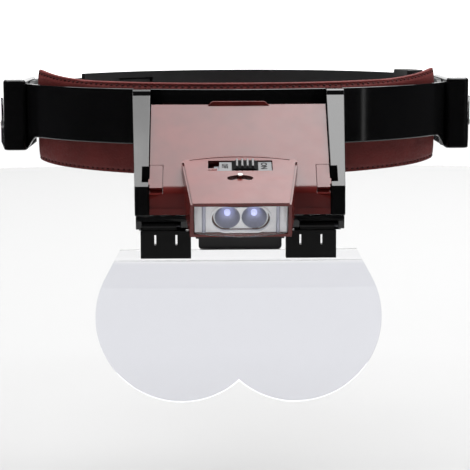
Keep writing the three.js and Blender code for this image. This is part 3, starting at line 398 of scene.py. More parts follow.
@dataclass(frozen=True)
class Sleeve(Finish):
    """Plain foil sleeve with a band of another colour near each end."""

    band: Colour = (0.55, 0.45, 0.2)
    cap: Colour = (0.6, 0.6, 0.62)
    half_length: float = 25.0

    def make(self, recipe: Recipe) -> None:
        """Sets the bands by the distance from the can's middle.

        Args:
            recipe: The empty recipe.
        """
        away = recipe.add("ShaderNodeMath", operation="ABSOLUTE")
        recipe.link(recipe.along("X"), away.inputs[0])
        share = recipe.add("ShaderNodeMapRange", {"From Min": 0.0, "From Max": self.half_length})
        recipe.link(away.outputs["Value"], share.inputs["Value"])
        stops = ((0.0, self.colour), (0.62, self.colour), (0.63, self.band), (0.84, self.band), (0.85, self.cap))
        recipe.paint(share.outputs["Result"], stops)
        recipe.dull(recipe.noise(3.0, 5.0), self.roughness, 0.12)
        recipe.bump(recipe.noise(1.2, 2.0), 0.01)
        recipe.set(Metallic=0.55)


BLACK_GLOSS = Moulded("gloss_black", "black_gloss", (0.0042, 0.0042, 0.0044), 0.07, skin=0.002)
BLACK_SATIN = Moulded("satin_black", "black_satin", (0.008, 0.008, 0.0085), 0.4, skin=0.012, spread=0.1)
BURGUNDY = Moulded("burgundy", "burgundy_plastic", (0.116, 0.0125, 0.0105), 0.2, skin=0.008, spread=0.06)
LEATHER = Leather("leather", "burgundy_leather", (0.135, 0.02, 0.018), 0.5)
THREAD = Moulded("thread", "burgundy_leather", (0.05, 0.008, 0.008), 0.6, skin=0.03, gloss=0.2)
GREY = Moulded("stop_grey", "grey_plastic", (0.014, 0.014, 0.015), 0.4, skin=0.015)
CRADLE = Moulded("cradle_black", "cradle_plastic", (0.02, 0.02, 0.022), 0.4, skin=0.012)
CLIP = Moulded("clip_satin", "clip_black", (0.005, 0.005, 0.0052), 0.3, skin=0.005, gloss=0.2)
KNOB = Moulded("knob_satin", "knob_black", (0.005, 0.005, 0.0055), 0.3, skin=0.004, gloss=0.01)
# The ridges are the knob's black plastic painted lighter and glossier: a painted highlight.
RIDGE_PAINTED_HIGHLIGHT = Moulded("knob_ridge_painted_highlight", "knob_black", (0.09, 0.09, 0.093), 0.3, skin=0.004, gloss=0.5)
# The pale trim carries a painted glow, standing in for the lamps' light on the inside of the head.
PALE_PAINTED_GLOW = Moulded("pale_trim_painted_glow", "pale_plastic", (0.8, 0.8, 0.82), 0.16, skin=0.003, glow=0.1)
# The blue cast of this silver is painted reflection of the lamps' cold light.
SILVERED = Metal("silvered", "silvered_plastic", (0.42, 0.43, 0.52), 0.3, lines=0.001)
STEEL = Metal("screw_steel", "pin_steel", (0.62, 0.63, 0.65), 0.22)
BLACK_STEEL = Metal("pin_blackened", "pin_black", (0.05, 0.05, 0.055), 0.3)
SPRING = Metal("spring_wire", "spring_steel", (0.66, 0.66, 0.68), 0.18)
BRASS = Metal("contact_strip", "contact_brass", (0.66, 0.46, 0.2), 0.22)
CHROME = Metal("lever_plating", "lever_chrome", (0.4, 0.395, 0.385), 0.28, lines=0.0005)
SWITCH_METAL = Metal("switch_case", "switch_metal", (0.16, 0.16, 0.17), 0.35)
LABEL = Moulded("word_plate", "label_white", (0.2, 0.2, 0.205), 0.5, skin=0.01, gloss=0.2)
INK = Moulded("ink", "label_white", (0.004, 0.004, 0.0045), 0.5, skin=0.002, gloss=0.1)
BOARD = Moulded("board_lacquer", "board_green", (0.015, 0.1, 0.04), 0.35, skin=0.02)
LIGHT = Glow("lamp_body", "lamp_light", (0.4, 0.44, 0.66), 0.1)
CELL = Sleeve("cell_sleeve", "cell_metal", (0.02, 0.08, 0.22), 0.28)
WINDOW = Clear("window_clear", "clear_window", (0.985, 0.985, 0.99), 0.0, lower=(0.985, 0.985, 0.99))
# The lens keeps the default greyer lower colour: painted shade on its dome.
LENS = Clear("lens_clear", "clear_lens", (0.96, 0.96, 0.97), 0.0)


class Workpiece:
    """One mesh on the bench. Sizes go in as millimetres, and its place is kept in its mesh."""

    def __init__(self, thing: bpy.types.Object) -> None:
        """Takes up an object.

        Args:
            thing: The object to shape.
        """
        self.thing = thing

    @classmethod
    def added(cls, name: str) -> "Workpiece":
        """Takes up the primitive just added, with its place put in its mesh.

        Args:
            name: The piece's name.

        Returns:
            The piece.
        """
        thing = bpy.context.active_object
        thing.name = name
        bpy.ops.object.transform_apply(location=True, rotation=True, scale=True)
        return cls(thing)

    @classmethod
    def box(cls, name: str, low: Triple, high: Triple) -> "Workpiece":
        """Adds a block between two corners.

        Args:
            name: The piece's name.
            low: Its lowest corner.
            high: Its highest corner.

        Returns:
            The piece.
        """
        put_down()
        centre = [(a + b) / 2 * MM for a, b in zip(low, high)]
        size = [(b - a) * MM for a, b in zip(low, high)]
        bpy.ops.mesh.primitive_cube_add(size=1, location=centre, scale=size)
        return cls.added(name)

    @classmethod
    def rod(cls, name: str, start: Triple, end: Triple, radius: float, sides: int = 48) -> "Workpiece":
        """Adds a round rod between two points.

        Args:
            name: The piece's name.
            start: The middle of its first end.
            end: The middle of its other end.
            radius: Its radius.
            sides: How many faces it has round it.

        Returns:
            The piece.
        """
        put_down()
        a, b = Vector(start) * MM, Vector(end) * MM
        turn = (b - a).to_track_quat("Z", "Y").to_euler()
        bpy.ops.mesh.primitive_cylinder_add(
            vertices=sides, radius=radius * MM, depth=(b - a).length, location=(a + b) / 2, rotation=turn
        )
        return cls.added(name)

    @classmethod
    def disc(cls, name: str, sides: int, radius: float, centre: Triple, fill: str) -> "Workpiece":
        """Adds a circle square to Y.

        Args:
            name: The piece's name.
            sides: How many corners it has.
            radius: Its radius.
            centre: Its middle.
            fill: NGON, or NOTHING for its line alone.

        Returns:
            The piece.
        """
        put_down()
        bpy.ops.mesh.primitive_circle_add(
            vertices=sides,
            radius=radius * MM,
            location=Vector(centre) * MM,
            rotation=(math.pi / 2, 0, 0),
            fill_type=fill,
        )
        return cls.added(name)

    @classmethod
    def drawn(cls, name: str, corners: Sequence[Vector]) -> "Workpiece":
        """Draws a flat face by moving a circle's points, and leaves it selected in edit mode.

        Args:
            name: The piece's name.
            corners: Its corners.

        Returns:
            The piece.
        """
        put_down()
        bpy.ops.mesh.primitive_circle_add(vertices=len(corners), radius=MM, fill_type="NGON")
        piece = cls.added(name)
        for vert, corner in zip(piece.thing.data.vertices, corners):
            vert.co = corner * MM
        piece.open_all()
        return piece

    @classmethod
    def slab(
        cls, name: str, axis: Axis, outline: Sequence[tuple[float, float]], start: float, end: float
    ) -> "Workpiece":
        """Draws an outline and extrudes it.

        Args:
            name: The piece's name.
            axis: The axis that the outline is square to.
            outline: Its points.
            start: Where it starts along the axis.
            end: Where it ends.

        Returns:
            The piece.
        """
        piece = cls.drawn(name, [axis.spot(across, up, start) for across, up in outline])
        piece.extrude(axis.spot(0, 0, end - start))
        return piece.merge()

    @classmethod
    def arc_wall(
        cls, name: str, radii: tuple[float, float], low: float, high: float, reach: float, steps: int
    ) -> "Workpiece":
        """Spins a wall round the front of the head opening.

        Args:
            name: The piece's name.
            radii: Its inner and outer radius.
            low: Height of its bottom.
            high: Height of its top.
            reach: Degrees to each side of the middle.
            steps: How many faces it has along its length.

        Returns:
            The piece.
        """
        start = math.radians(-90 - reach)
        across, along = math.cos(start), math.sin(start)
        corners = [(radius, height) for radius in radii for height in (low, high)]
        corners[2:] = corners[:1:-1]
        spots = [Vector((radius * across, RING_CENTRE_Y + radius * along, height)) for radius, height in corners]
        wall = cls.drawn(name, spots)
        bpy.ops.mesh.spin(
            steps=steps, angle=math.radians(2 * reach), center=(0, RING_CENTRE_Y * MM, 0), axis=(0, 0, -1)
        )
        return wall.merge()

    @classmethod
    def copy_of(cls, node: str, name: str) -> "Workpiece":
        """Copies a node of the model, and merges the copy's loose triangles into clean faces.

        Args:
            node: The node's name.
            name: The piece's name.

        Returns:
            The piece.
        """
        cls(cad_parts[node]).take_up()
        bpy.ops.object.duplicate()
        piece = cls(bpy.context.active_object)
        piece.thing.name = name
        piece.open_all()
        bpy.ops.mesh.remove_doubles(threshold=MERGE_DISTANCE * MM)
        bpy.ops.mesh.dissolve_limited(angle_limit=math.radians(0.5))
        put_down()
        return piece

    def take_up(self) -> None:
        """Makes the piece the only one selected."""
        put_down()
        self.thing.select_set(True)
        bpy.context.view_layer.objects.active = self.thing

    def open(self) -> None:
        """Goes to edit mode."""
        self.take_up()
        bpy.ops.object.mode_set(mode="EDIT")

    def open_all(self) -> None:
        """Goes to edit mode with everything selected."""
        self.open()
        bpy.ops.mesh.select_all(action="SELECT")

    def pick(self, kind: Pick, test: Callable[[Vector, Vector], bool]) -> None:
        """Selects by place and direction, and stays in edit mode.

        Args:
            kind: Vertices, edges or faces.
            test: Takes the middle in millimetres and the normal, or the way along an edge, and says
                whether it is chosen.
        """
        self.open()
        bpy.ops.mesh.select_mode(type=kind.value)
        bpy.ops.mesh.select_all(action="DESELECT")
        bpy.ops.object.mode_set(mode="OBJECT")
        mesh = self.thing.data
        if kind is Pick.FACE:
            items = [(face, face.center, face.normal) for face in mesh.polygons]
        elif kind is Pick.VERT:
            items = [(vert, vert.co, vert.normal) for vert in mesh.vertices]
        else:
            ends = [(edge, *(mesh.vertices[number].co for number in edge.vertices)) for edge in mesh.edges]
            items = [(edge, (start + end) / 2, (end - start).normalized()) for edge, start, end in ends]
        for item, middle, way in items:
            item.select = bool(test(middle / MM, way))
        bpy.ops.object.mode_set(mode="EDIT")

    def bevel_picked(self, width: float, segments: int) -> None:
        """Rounds the selected edges."""
        bpy.ops.mesh.bevel(offset=width * MM, segments=segments, affect="EDGES")

    def extrude(self, shift: Triple) -> None:
        """Draws the selected faces or edges out."""
        bpy.ops.mesh.extrude_region_move(TRANSFORM_OT_translate={"value": Vector(shift) * MM})

    def resize(self, factors: Triple, centre: Triple) -> None:
        """Scales the selection about a point."""
        bpy.ops.transform.resize(value=factors, center_override=Vector(centre) * MM)

    def draw_rings(self, centre: Triple, radius: float, rings: Sequence[tuple[float, float]]) -> None:
        """Draws the selected ring on along Y, in further rings.

        Args:
            centre: The middle of the first ring.
            radius: Its radius.
            rings: Each further ring's radius, and its distance from the first.
        """
        depth = 0.0
        for new_radius, new_depth in rings:
            self.extrude((0, new_depth - depth, 0))
            factor = new_radius / radius
            self.resize((factor, 1, factor), centre)
            radius, depth = new_radius, new_depth

    def slice(self, point: Triple, normal: Triple) -> "Workpiece":
        """Cuts away what lies beyond a plane, and closes the cut.

        Args:
            point: A point on the plane.
            normal: The way to what is cut away.

        Returns:
            The piece itself.
        """
        self.open_all()
        way = Vector(normal).normalized()
        bpy.ops.mesh.bisect(plane_co=Vector(point) * MM, plane_no=way, use_fill=True, clear_outer=True)
        put_down()
        return self

    def copied(self, name: str) -> "Workpiece":
        """Gives a copy with a mesh of its own.

        Args:
            name: The copy's name.

        Returns:
            The copy.
        """
        other = self.thing.copy()
        other.data = self.thing.data.copy()
        other.name = name
        bpy.context.collection.objects.link(other)
        return Workpiece(other)

    def mirrored(self, name: str) -> "Workpiece":
        """Gives a copy on the other side of the middle plane.

        Args:
            name: The copy's name.

        Returns:
            The copy.
        """
        put_down()
        twin = self.copied(name).move(Matrix.Scale(-1, 4, (1, 0, 0)))
        twin.open_all()
        bpy.ops.mesh.flip_normals()
        put_down()
        return twin

    def modify(self, kind: str, **values: object) -> "Workpiece":
        """Adds a modifier and applies it.

        Args:
            kind: The modifier's type.
            values: Its settings.

        Returns:
            The piece itself.
        """
        self.take_up()
        modifier = self.thing.modifiers.new(kind.title(), kind)
        for name, value in values.items():
            setattr(modifier, name, value)
        bpy.ops.object.modifier_apply(modifier=modifier.name)
        return self

    def bevel(self, width: float, segments: int = 3, sharper_than: float = 30.0, **more: object) -> "Workpiece":
        """Rounds every edge sharper than an angle, and leaves the shading.

        Args:
            width: Width of the round.
            segments: How many faces it has across.
            sharper_than: The angle, in degrees.
            more: Other settings of the round.

        Returns:
            The piece itself.
        """
        angle = math.radians(sharper_than)
        more.update(width=width * MM, segments=segments, angle_limit=angle, use_clamp_overlap=True)
        return self.modify("BEVEL", limit_method="ANGLE", **more)

    def round_edges(self, width: float, segments: int = 3) -> "Workpiece":
        """Rounds the sharp edges with arcs at their corners, and keeps the flats flat."""
        return self.bevel(width, segments, miter_outer="MITER_ARC").smooth()

    def combine(self, other: "Workpiece", operation: str) -> "Workpiece":
        """Joins, cuts or trims by another piece, which is used up.

        Args:
            other: The other piece.
            operation: UNION, DIFFERENCE or INTERSECT.

        Returns:
            The piece itself.
        """
        self.modify("BOOLEAN", operation=operation, object=other.thing, solver="EXACT")
        other.discard()
        return self

    def discard(self) -> None:
        """Takes the piece off the bench."""
        mesh = self.thing.data
        bpy.data.objects.remove(self.thing)
        bpy.data.meshes.remove(mesh)

    def merge(self, distance: float = MERGE_DISTANCE) -> "Workpiece":
        """Merges doubles and turns every face outwards.

        Args:
            distance: How near doubles lie.

        Returns:
            The piece itself.
        """
        self.open_all()
        bpy.ops.mesh.remove_doubles(threshold=distance * MM)
        bpy.ops.mesh.normals_make_consistent(inside=False)
        put_down()
        return self

    def smooth(self, angle: float = 40.0) -> "Workpiece":
        """Shades the piece smoothly, with its large faces leading."""
        self.take_up()
        bpy.ops.object.shade_smooth_by_angle(angle=math.radians(angle))
        return self.modify("WEIGHTED_NORMAL", keep_sharp=True, weight=60)

    def move(self, matrix: Matrix) -> "Workpiece":
        """Places the piece by changing its mesh."""
        self.thing.data.transform(matrix)
        self.thing.data.update()
        return self

    def finish(self, body: Body, finish: Finish, *nodes: str) -> bpy.types.Object:
        """Dresses the piece and hands it over.

        Args:
            body: The group that it moves with.
            finish: Its finish.
            nodes: The model's nodes that it stands for.

        Returns:
            The piece's object.
        """
        self.take_up()
        self.thing.data.materials.clear()
        self.thing.data.materials.append(finish.material())
        for slot in self.thing.material_slots:
            slot.link = "DATA"
        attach(self.thing, body.value)
        if nodes:
            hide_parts(*nodes)
        LOG.info("%-24s %7d faces", self.thing.name, len(self.thing.data.polygons))
        return self.thing


def dress(finish: Finish, *nodes: str) -> None:
    """Gives nodes of the model a finish and leaves their shape.

    Args:
        finish: The finish.
        nodes: The nodes' names.
    """
    for node in nodes:
        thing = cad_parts[node]
        thing.material_slots[0].material = finish.material()
        LOG.info("%-24s dressed", node)


def rounded(node: str, name: str, body: Body, finish: Finish, width: float, segments: int = 3) -> None:
    """Replaces a node with a copy whose edges are rounded.

    Args:
        node: The node's name.
        name: The piece's name.
        body: The group that it moves with.
        finish: Its finish.
        width: Width of the rounds.
        segments: Faces across a round.
    """
    Workpiece.copy_of(node, name).round_edges(width, segments).finish(body, finish, node)


LAMP_PLACE = Matrix.Translation((0, -142.5 * MM, -23.5 * MM)) @ Matrix.Rotation(math.radians(21.8), 4, "X")
LENS_PLACE = Matrix.Translation((-0.7 * MM, -129.5 * MM, -40.6 * MM))


def racetrack(name: str, half_width: float, radius: float, middle_z: float, front: float, back: float) -> Workpiece:
    """Makes a slab with straight long sides and round ends, set square to Y.

    Args:
        name: The piece's name.
        half_width: Half of its length.
        radius: Radius of its ends.
        middle_z: Height of its middle.
        front: Where it starts along Y.
        back: Where it ends.

    Returns:
        The slab.
    """
    reach = half_width - radius
    turns = [math.pi * (step / 24 - 0.5) for step in range(25)]
    right = [(reach + radius * math.cos(turn), middle_z + radius * math.sin(turn)) for turn in turns]
    left = [(-x, 2 * middle_z - z) for x, z in right]
    return Workpiece.slab(name, Axis.Y, right + left, front, back)


@dataclass
class HeadFrame:
    """Arms, blocks, cheeks and tray, with the hinge brackets below."""

    outer_radius: float = 101.5
    wall: float = 2.0
    arm_top: float = 10.6
    arm_bottom: float = -12.1
    arm_reach: float = 87.5
    arm_steps: int = 120
    edge: float = 0.5
    block_inner: float = 91.5
    block_outer: float = 101.0
    block_flare: float = 6.8
    seat_radius: float = 6.9
    block_front: float = -44.0
    block_back: float = 0.0
    block_top: float = 12.4
    block_bottom: float = -18.2
    block_wall: float = 1.8
    block_rounds: tuple[tuple[float, int], ...] = ((2.6, 12), (2.0, 6), (1.3, 5), (0.5, 3))
    boss_rise: float = 1.4
    seat_depth: float = 12.0
    pivot: tuple[float, float] = (-22.0, -3.0)
    bore_radius: float = 2.5
    tray_bottom: float = -36.5
    tray_half_width: float = 35.4
    cheek_half_width: float = 42.5
    cheek_front_half_width: float = 40.7
    cheek_back: float = -88.2
    cheek_front: float = -132.0
    cheek_profile: tuple[tuple[float, float], ...] = (
        (-88.2, 10.6), (-98.1, 10.6), (-99.2, 10.0), (-100.0, 8.3), (-132.0, -25.2), (-132.0, -36.5), (-88.2, -36.5),
    )
    notch_profile: tuple[tuple[float, float], ...] = (
        (-125.0, -15.9), (-125.0, -25.9), (-130.4, -27.5), (-130.4, -15.9),
    )
    notch_width: float = 2.6
    floor_front: float = -128.25
    floor_thickness: float = 1.8
    web: tuple[float, float, float, float] = (-126.0, -124.8, -42.9, -37.9)
    overlap: float = 2.0
    skin_gap: float = 0.02

    def arms(self) -> Workpiece:
        """Spins both arms in one, and draws their ends down to the blocks.

        Returns:
            The arms.
        """
        reach = math.degrees(math.asin((self.block_inner + 1) / self.outer_radius))
        radii = (self.outer_radius - self.wall, self.outer_radius)
        arms = Workpiece.arc_wall("frame_moulding", radii, self.arm_bottom, self.arm_top, reach, self.arm_steps)
        run, drop = self.block_inner - self.arm_reach, self.arm_bottom - self.block_bottom
        places = sorted({round(abs(vert.co.x) / MM, 2) for vert in arms.thing.data.vertices})
        for place in (x for x in places if x > self.arm_reach):
            share = min((place - self.arm_reach) / run, 1.0)
            arms.pick(
                Pick.VERT, lambda spot, _: abs(abs(spot.x) - place) < 0.006 and spot.z < self.arm_bottom + 0.01
            )
            bpy.ops.transform.translate(value=(0, 0, -drop * share * MM))
        return arms.bevel(self.edge, 3, 50)

    def block(self) -> Workpiece:
        """Makes the right block, hollow from below, with the pivot's bore.

        Returns:
            The block.
        """
        inner, outer, wall = self.block_inner, self.block_outer, self.block_wall
        middle, front = (inner + outer) / 2, self.block_front + 4
        low = (inner, self.block_front, self.block_bottom)
        block = Workpiece.box("block_right", low, (outer, self.block_back, self.block_top))
        block.pick(Pick.VERT, lambda spot, _: spot.x > middle and spot.y > self.block_back - 1)
        bpy.ops.transform.translate(value=(self.block_flare * MM, 0, 0))
        tests = (
            lambda spot, way: abs(way.z) > 0.9 and spot.y < front and spot.x > middle,
            lambda spot, way: abs(way.z) > 0.9 and spot.y < front and spot.x < middle,
            lambda spot, _: spot.z > self.block_top - 0.1,
            lambda spot, _: spot.z < self.block_bottom + 0.1,
        )
        for test, (width, segments) in zip(tests, self.block_rounds):
            block.pick(Pick.EDGE, test)
            block.bevel_picked(width, segments)
        foot_round = self.block_rounds[-1][0]
        block.pick(Pick.FACE, lambda _, way: way.z < -0.999)
        bpy.ops.mesh.inset(thickness=(wall - foot_round) * MM)
        block.extrude((0, 0, self.block_top - self.block_bottom - wall))
        far = (outer + self.seat_depth, *self.pivot)
        ends = ((outer - wall, *self.pivot), (outer + self.boss_rise, *self.pivot))
        boss = Workpiece.rod("boss", *ends, self.seat_radius + wall)
        seat = Workpiece.rod("seat", (outer, *self.pivot), far, self.seat_radius, 64)
        bore = Workpiece.rod("bore", (inner - self.overlap, *self.pivot), far, self.bore_radius)
        block.merge().combine(boss, "UNION").combine(seat, "DIFFERENCE")
        return block.combine(bore, "DIFFERENCE")

    def cheek(self) -> Workpiece:
        """Makes the right wall of the battery tray with its notch.

        Returns:
            The wall.
        """
        cheek = Workpiece.slab(
            "cheek_right", Axis.X, self.cheek_profile, self.tray_half_width, self.cheek_half_width
        )
        lean = self.cheek_half_width - self.cheek_front_half_width
        run = self.arm_front - self.cheek_front
        cheek.slice((self.cheek_half_width, self.arm_front, 0), (run, -lean, 0))
        cheek.bevel(0.2, 2, 12)
        inside = self.tray_half_width
        ends = (inside - self.overlap, inside + self.notch_width)
        notch = Workpiece.slab("notch", Axis.X, self.notch_profile, *ends)
        return cheek.combine(notch, "DIFFERENCE")

    @property
    def arm_front(self) -> float:
        """Depth of the arms' front at the middle."""
        return RING_CENTRE_Y - self.outer_radius

    def tray(self) -> Workpiece:
        """Joins the cheeks, the floor and the back wall of the battery tray.

        Returns:
            The tray.
        """
        right = self.cheek()
        left = right.mirrored("cheek_left")
        reach = self.tray_half_width + self.overlap
        floor = Workpiece.box(
            "tray_floor",
            (-reach, self.floor_front, self.tray_bottom),
            (reach, self.cheek_back, self.tray_bottom + self.floor_thickness),
        )
        inner = self.outer_radius - self.wall
        radii = (inner - self.skin_gap, self.outer_radius - 0.05)
        angle = math.degrees(math.asin(self.cheek_half_width / self.outer_radius)) - 0.3
        back = Workpiece.arc_wall("tray_back", radii, self.tray_bottom, self.arm_top - self.edge * 1.5, angle, 48)
        tray = right.combine(left, "UNION").combine(floor, "UNION")
        room = Workpiece.rod("room", (0, RING_CENTRE_Y, -60), (0, RING_CENTRE_Y, 40), inner, 360)
        return tray.combine(room, "DIFFERENCE").combine(back, "UNION")

    def bracket(self, name: str) -> None:
        """Makes a hinge bracket with the web that closes it behind the pin.

        Args:
            name: The side that it is on.
        """
        bracket = Workpiece.copy_of(f"hinge_bracket_{name}", f"bracket_{name}")
        spots = [vert.co / MM for vert in bracket.thing.data.vertices]
        start, end = min(spot.x for spot in spots) + 1, max(spot.x for spot in spots) - 1
        web = Workpiece.box("web", (start, self.web[0], self.web[2]), (end, self.web[1], self.web[3]))
        bracket.round_edges(0.35).combine(web, "UNION")
        bracket.smooth(30).finish(Body.FRAME, BLACK_GLOSS, f"hinge_bracket_{name}")

    def build(self) -> None:
        """Makes the moulding and what is screwed to it."""
        block = self.block()
        other = block.mirrored("block_left")
        whole = self.arms().combine(self.tray(), "UNION").combine(block, "UNION").combine(other, "UNION")
        whole.smooth(13).finish(Body.FRAME, BLACK_GLOSS, "front_frame")
        for side in Side:
            name = side.name.lower()
            self.bracket(name)
            dress(STEEL, *(f"screw_{number}_{name}" for number in (1, 2, 3)))
            dress(BLACK_STEEL, f"hinge_pin_{name}")
        rounded("lens_stop", "stop_plate", Body.FRAME, GREY, 0.3)


@dataclass
class RearStrap:
    """The two strap halves with their keeper, click tongue and temple pins."""

    edge: float = 0.45

    def build(self) -> None:
        """Makes the strap."""
        rounded("rear_strap_left", "strap_outer", Body.STRAP, BLACK_SATIN, self.edge, 2)
        rounded("rear_strap_right", "strap_inner", Body.STRAP, BLACK_SATIN, self.edge, 2)
        rounded("strap_keeper", "keeper_loop", Body.STRAP, BLACK_SATIN, 0.5)
        rounded("strap_latch", "click_tongue", Body.LATCH, BLACK_SATIN, 0.2, 2)
        for side in Side:
            name = side.name.lower()
            rounded(f"temple_pivot_{name}", f"temple_cap_{name}", Body.STRAP, BLACK_GLOSS, 0.35)


@dataclass
class BrowPad:
    """Stitched leather cushion behind the arms."""

    back_radius: float = 98.7
    thickness: float = 4.3
    half_height: float = 18.9
    end_lift: float = 1.8
    middle_z: float = -5.9
    end_rise: float = 2.6
    half_chord: float = 86.9
    swell: float = 0.4
    seam_inset: float = 1.5
    seam_width: float = 0.6
    seam_depth: float = 0.55
    stitch_pitch: float = 2.7
    stitch_length: float = 1.4
    stitch_height: float = 1.1
    stitch_radius: float = 0.3
    path_steps: int = 170
    section_steps: int = 44
    room_radii: tuple[float, float] = (93.6, 99.1)
    room_half_height: float = 19.0
    flatness: tuple[float, float] = (0.5, 0.55)
    end_thickness: float = 0.45
    end_height: float = 0.975
    end_power: float = 40.0
    cloth_frames: int = 20
    stitch_lift: float = 0.06

    @property
    def length(self) -> float:
        """Length of the pad along its back."""
        return 2 * self.reach * self.back_radius

    @property
    def middle_radius(self) -> float:
        """Radius halfway through the pad."""
        return self.back_radius - self.thickness / 2

    @property
    def reach(self) -> float:
        """Half of the angle that the pad takes up."""
        return math.asin(self.half_chord / self.back_radius)

    def middle(self, share: float) -> float:
        """Height of the pad's middle line at a share of the way to its end."""
        return self.middle_z + self.end_rise * abs(share) ** 5

    def stretch(self, share: float, height: float) -> float:
        """How much taller the pad's upper half is drawn towards its ends."""
        return 1 + self.end_lift / self.half_height * abs(share) ** 3 if height > 0 else 1.0

    def point(self, share: float, height: float, radius: float) -> Vector:
        """Gives a place on the pad.

        Args:
            share: From -1 at its left end to 1 at its right end.
            height: Above its middle line, in millimetres.
            radius: Distance from the head's middle axis.

        Returns:
            The place in metres.
        """
        angle = share * self.reach
        return Vector(
            (
                radius * math.sin(angle) * MM,
                (RING_CENTRE_Y - radius * math.cos(angle)) * MM,
                (self.middle(share) + height * self.stretch(share, height)) * MM,
            )
        )

    def blank(self) -> Workpiece:
        """Sews the closed shell, still thin.

        Returns:
            The shell.
        """
        points, faces = [], []
        flat_up, flat_out = self.flatness
        for row in range(self.path_steps + 1):
            share = row / self.path_steps * 2 - 1
            end = max(0.0, 1 - abs(share) ** self.end_power) ** 0.5
            tall = self.half_height * (self.end_height + (1 - self.end_height) * end)
            thick = self.thickness / 2 * (self.end_thickness + (1 - self.end_thickness) * end)
            for step in range(self.section_steps):
                turn = 2 * math.pi * step / self.section_steps
                up = math.copysign(abs(math.sin(turn)) ** flat_up, math.sin(turn))
                out = math.copysign(abs(math.cos(turn)) ** flat_out, math.cos(turn))
                points.append(self.point(share, up * tall, self.middle_radius + out * thick))
        count = self.section_steps
        for row in range(self.path_steps):
            for step in range(count):
                a, b = row * count + step, row * count + (step + 1) % count
                faces.append((a, b, b + count, a + count))
        last = self.path_steps * count
        faces.append(tuple(range(count))[::-1])
        faces.append(tuple(last + step for step in range(count)))
        mesh = bpy.data.meshes.new("brow_cushion")
        mesh.from_pydata(points, [], faces)
        mesh.validate()
        thing = bpy.data.objects.new("brow_cushion", mesh)
        bpy.context.collection.objects.link(thing)
        return Workpiece(thing).merge()

    def inflate(self, pad: Workpiece) -> None:
        """Blows the shell up as cloth, and caps how far it swells.

        Args:
            pad: The thin shell.
        """
        thing = pad.thing
        before = [vert.co.copy() for vert in thing.data.vertices]
        cloth = thing.modifiers.new("Cloth", "CLOTH")
        settings = {
            "quality": 6,
            "mass": 0.25,
            "tension_stiffness": 12,
            "compression_stiffness": 12,
            "bending_stiffness": 1.5,
            "use_pressure": True,
            "uniform_pressure_force": 4.0,
        }
        for name, value in settings.items():
            setattr(cloth.settings, name, value)
        cloth.settings.effector_weights.gravity = 0.0
        cloth.point_cache.frame_start = 1
        cloth.point_cache.frame_end = self.cloth_frames
        scene = bpy.context.scene
        for number in range(1, self.cloth_frames + 1):
            scene.frame_set(number)
        pad.take_up()
        bpy.ops.object.modifier_apply(modifier=cloth.name)
        scene.frame_set(1)
        limit = self.swell * MM
        for vert, old in zip(thing.data.vertices, before):
            shift = vert.co - old
            if shift.length > limit:
                vert.co = old + shift * (limit / shift.length)

    def sew(self, pad: Workpiece) -> None:
        """Draws the seams in and keeps the cushion in its room.

        Args:
            pad: The swollen cushion.
        """
        low_radius, high_radius = self.room_radii
        room = self.room_half_height
        for vert in pad.thing.data.vertices:
            x, y, z = vert.co / MM
            radius = math.hypot(x, y - RING_CENTRE_Y)
            share = math.atan2(x, RING_CENTRE_Y - y) / self.reach
            height = z - self.middle(share)
            height /= self.stretch(share, height)
            along = (share + 1) / 2 * self.length
            seam = min(self.half_height - abs(height), (1 - abs(share)) * self.length / 2)
            pucker = 0.8 + 0.2 * math.cos(2 * math.pi * along / self.stitch_pitch)
            pull = self.seam_depth * pucker * math.exp(-(((seam - self.seam_inset) / self.seam_width) ** 2))
            out = radius - self.middle_radius
            radius -= math.copysign(min(pull, abs(out) * 0.8), out)
            radius = min(max(radius, low_radius), high_radius)
            vert.co = self.point(share, max(-room, min(room, height)), radius)
        pad.thing.data.update()

    def stitches(self, pad: Workpiece) -> Workpiece:
        """Lays the threads along the seams, on both faces of the cushion.

        Args:
            pad: The finished cushion.

        Returns:
            All the threads as one piece.
        """
        tree = BVHTree.FromObject(pad.thing, bpy.context.evaluated_depsgraph_get())
        put_down()
        bpy.ops.mesh.primitive_uv_sphere_add(segments=8, ring_count=6, radius=self.stitch_radius * MM)
        model = Workpiece.added("pad_threads")
        model.open_all()
        girth = self.stitch_radius * 2
        model.resize((self.stitch_length / girth, 1, self.stitch_height / girth), (0, 0, 0))
        put_down()
        model.take_up()
        bpy.ops.object.shade_smooth()
        count = int((self.length - self.seam_inset * 2) / self.stitch_pitch)
        copies = []
        for number in range(count + 1):
            share = (number - count / 2) * self.stitch_pitch / (self.length / 2)
            angle = share * self.reach
            outward = Vector((math.sin(angle), -math.cos(angle), 0))
            for height in (self.half_height - self.seam_inset, self.seam_inset - self.half_height):
                for face in (1, -1):
                    start = self.point(share, height, self.middle_radius + face * 6)
                    hit, normal, *_ = tree.ray_cast(start, outward * -face)
                    if hit is None:
                        continue
                    along = Vector((math.cos(angle), math.sin(angle), 0.12))
                    along = (along - normal * along.dot(normal)).normalized()
                    turn = Matrix((along, normal.cross(along), normal)).transposed().to_4x4()
                    copy = model.copied("pad_threads")
                    copy.move(Matrix.Translation(hit + normal * self.stitch_lift * MM) @ turn)
                    copies.append(copy.thing)
        put_down()
        for copy in copies:
            copy.select_set(True)
        bpy.context.view_layer.objects.active = copies[0]
        model.discard()
        bpy.ops.object.join()
        joined = Workpiece(bpy.context.active_object)
        joined.thing.name = "pad_threads"
        return joined

    def build(self) -> None:
        """Makes the cushion and its threads."""
        pad = self.blank()
        self.inflate(pad)
        pad.modify("SUBSURF", levels=1, render_levels=1)
        self.sew(pad)
        pad.take_up()
        bpy.ops.object.shade_smooth()
        threads = self.stitches(pad)
        cushion = pad.finish(Body.FRAME, LEATHER, "brow_pad")
        threads.finish(Body.FRAME, THREAD)


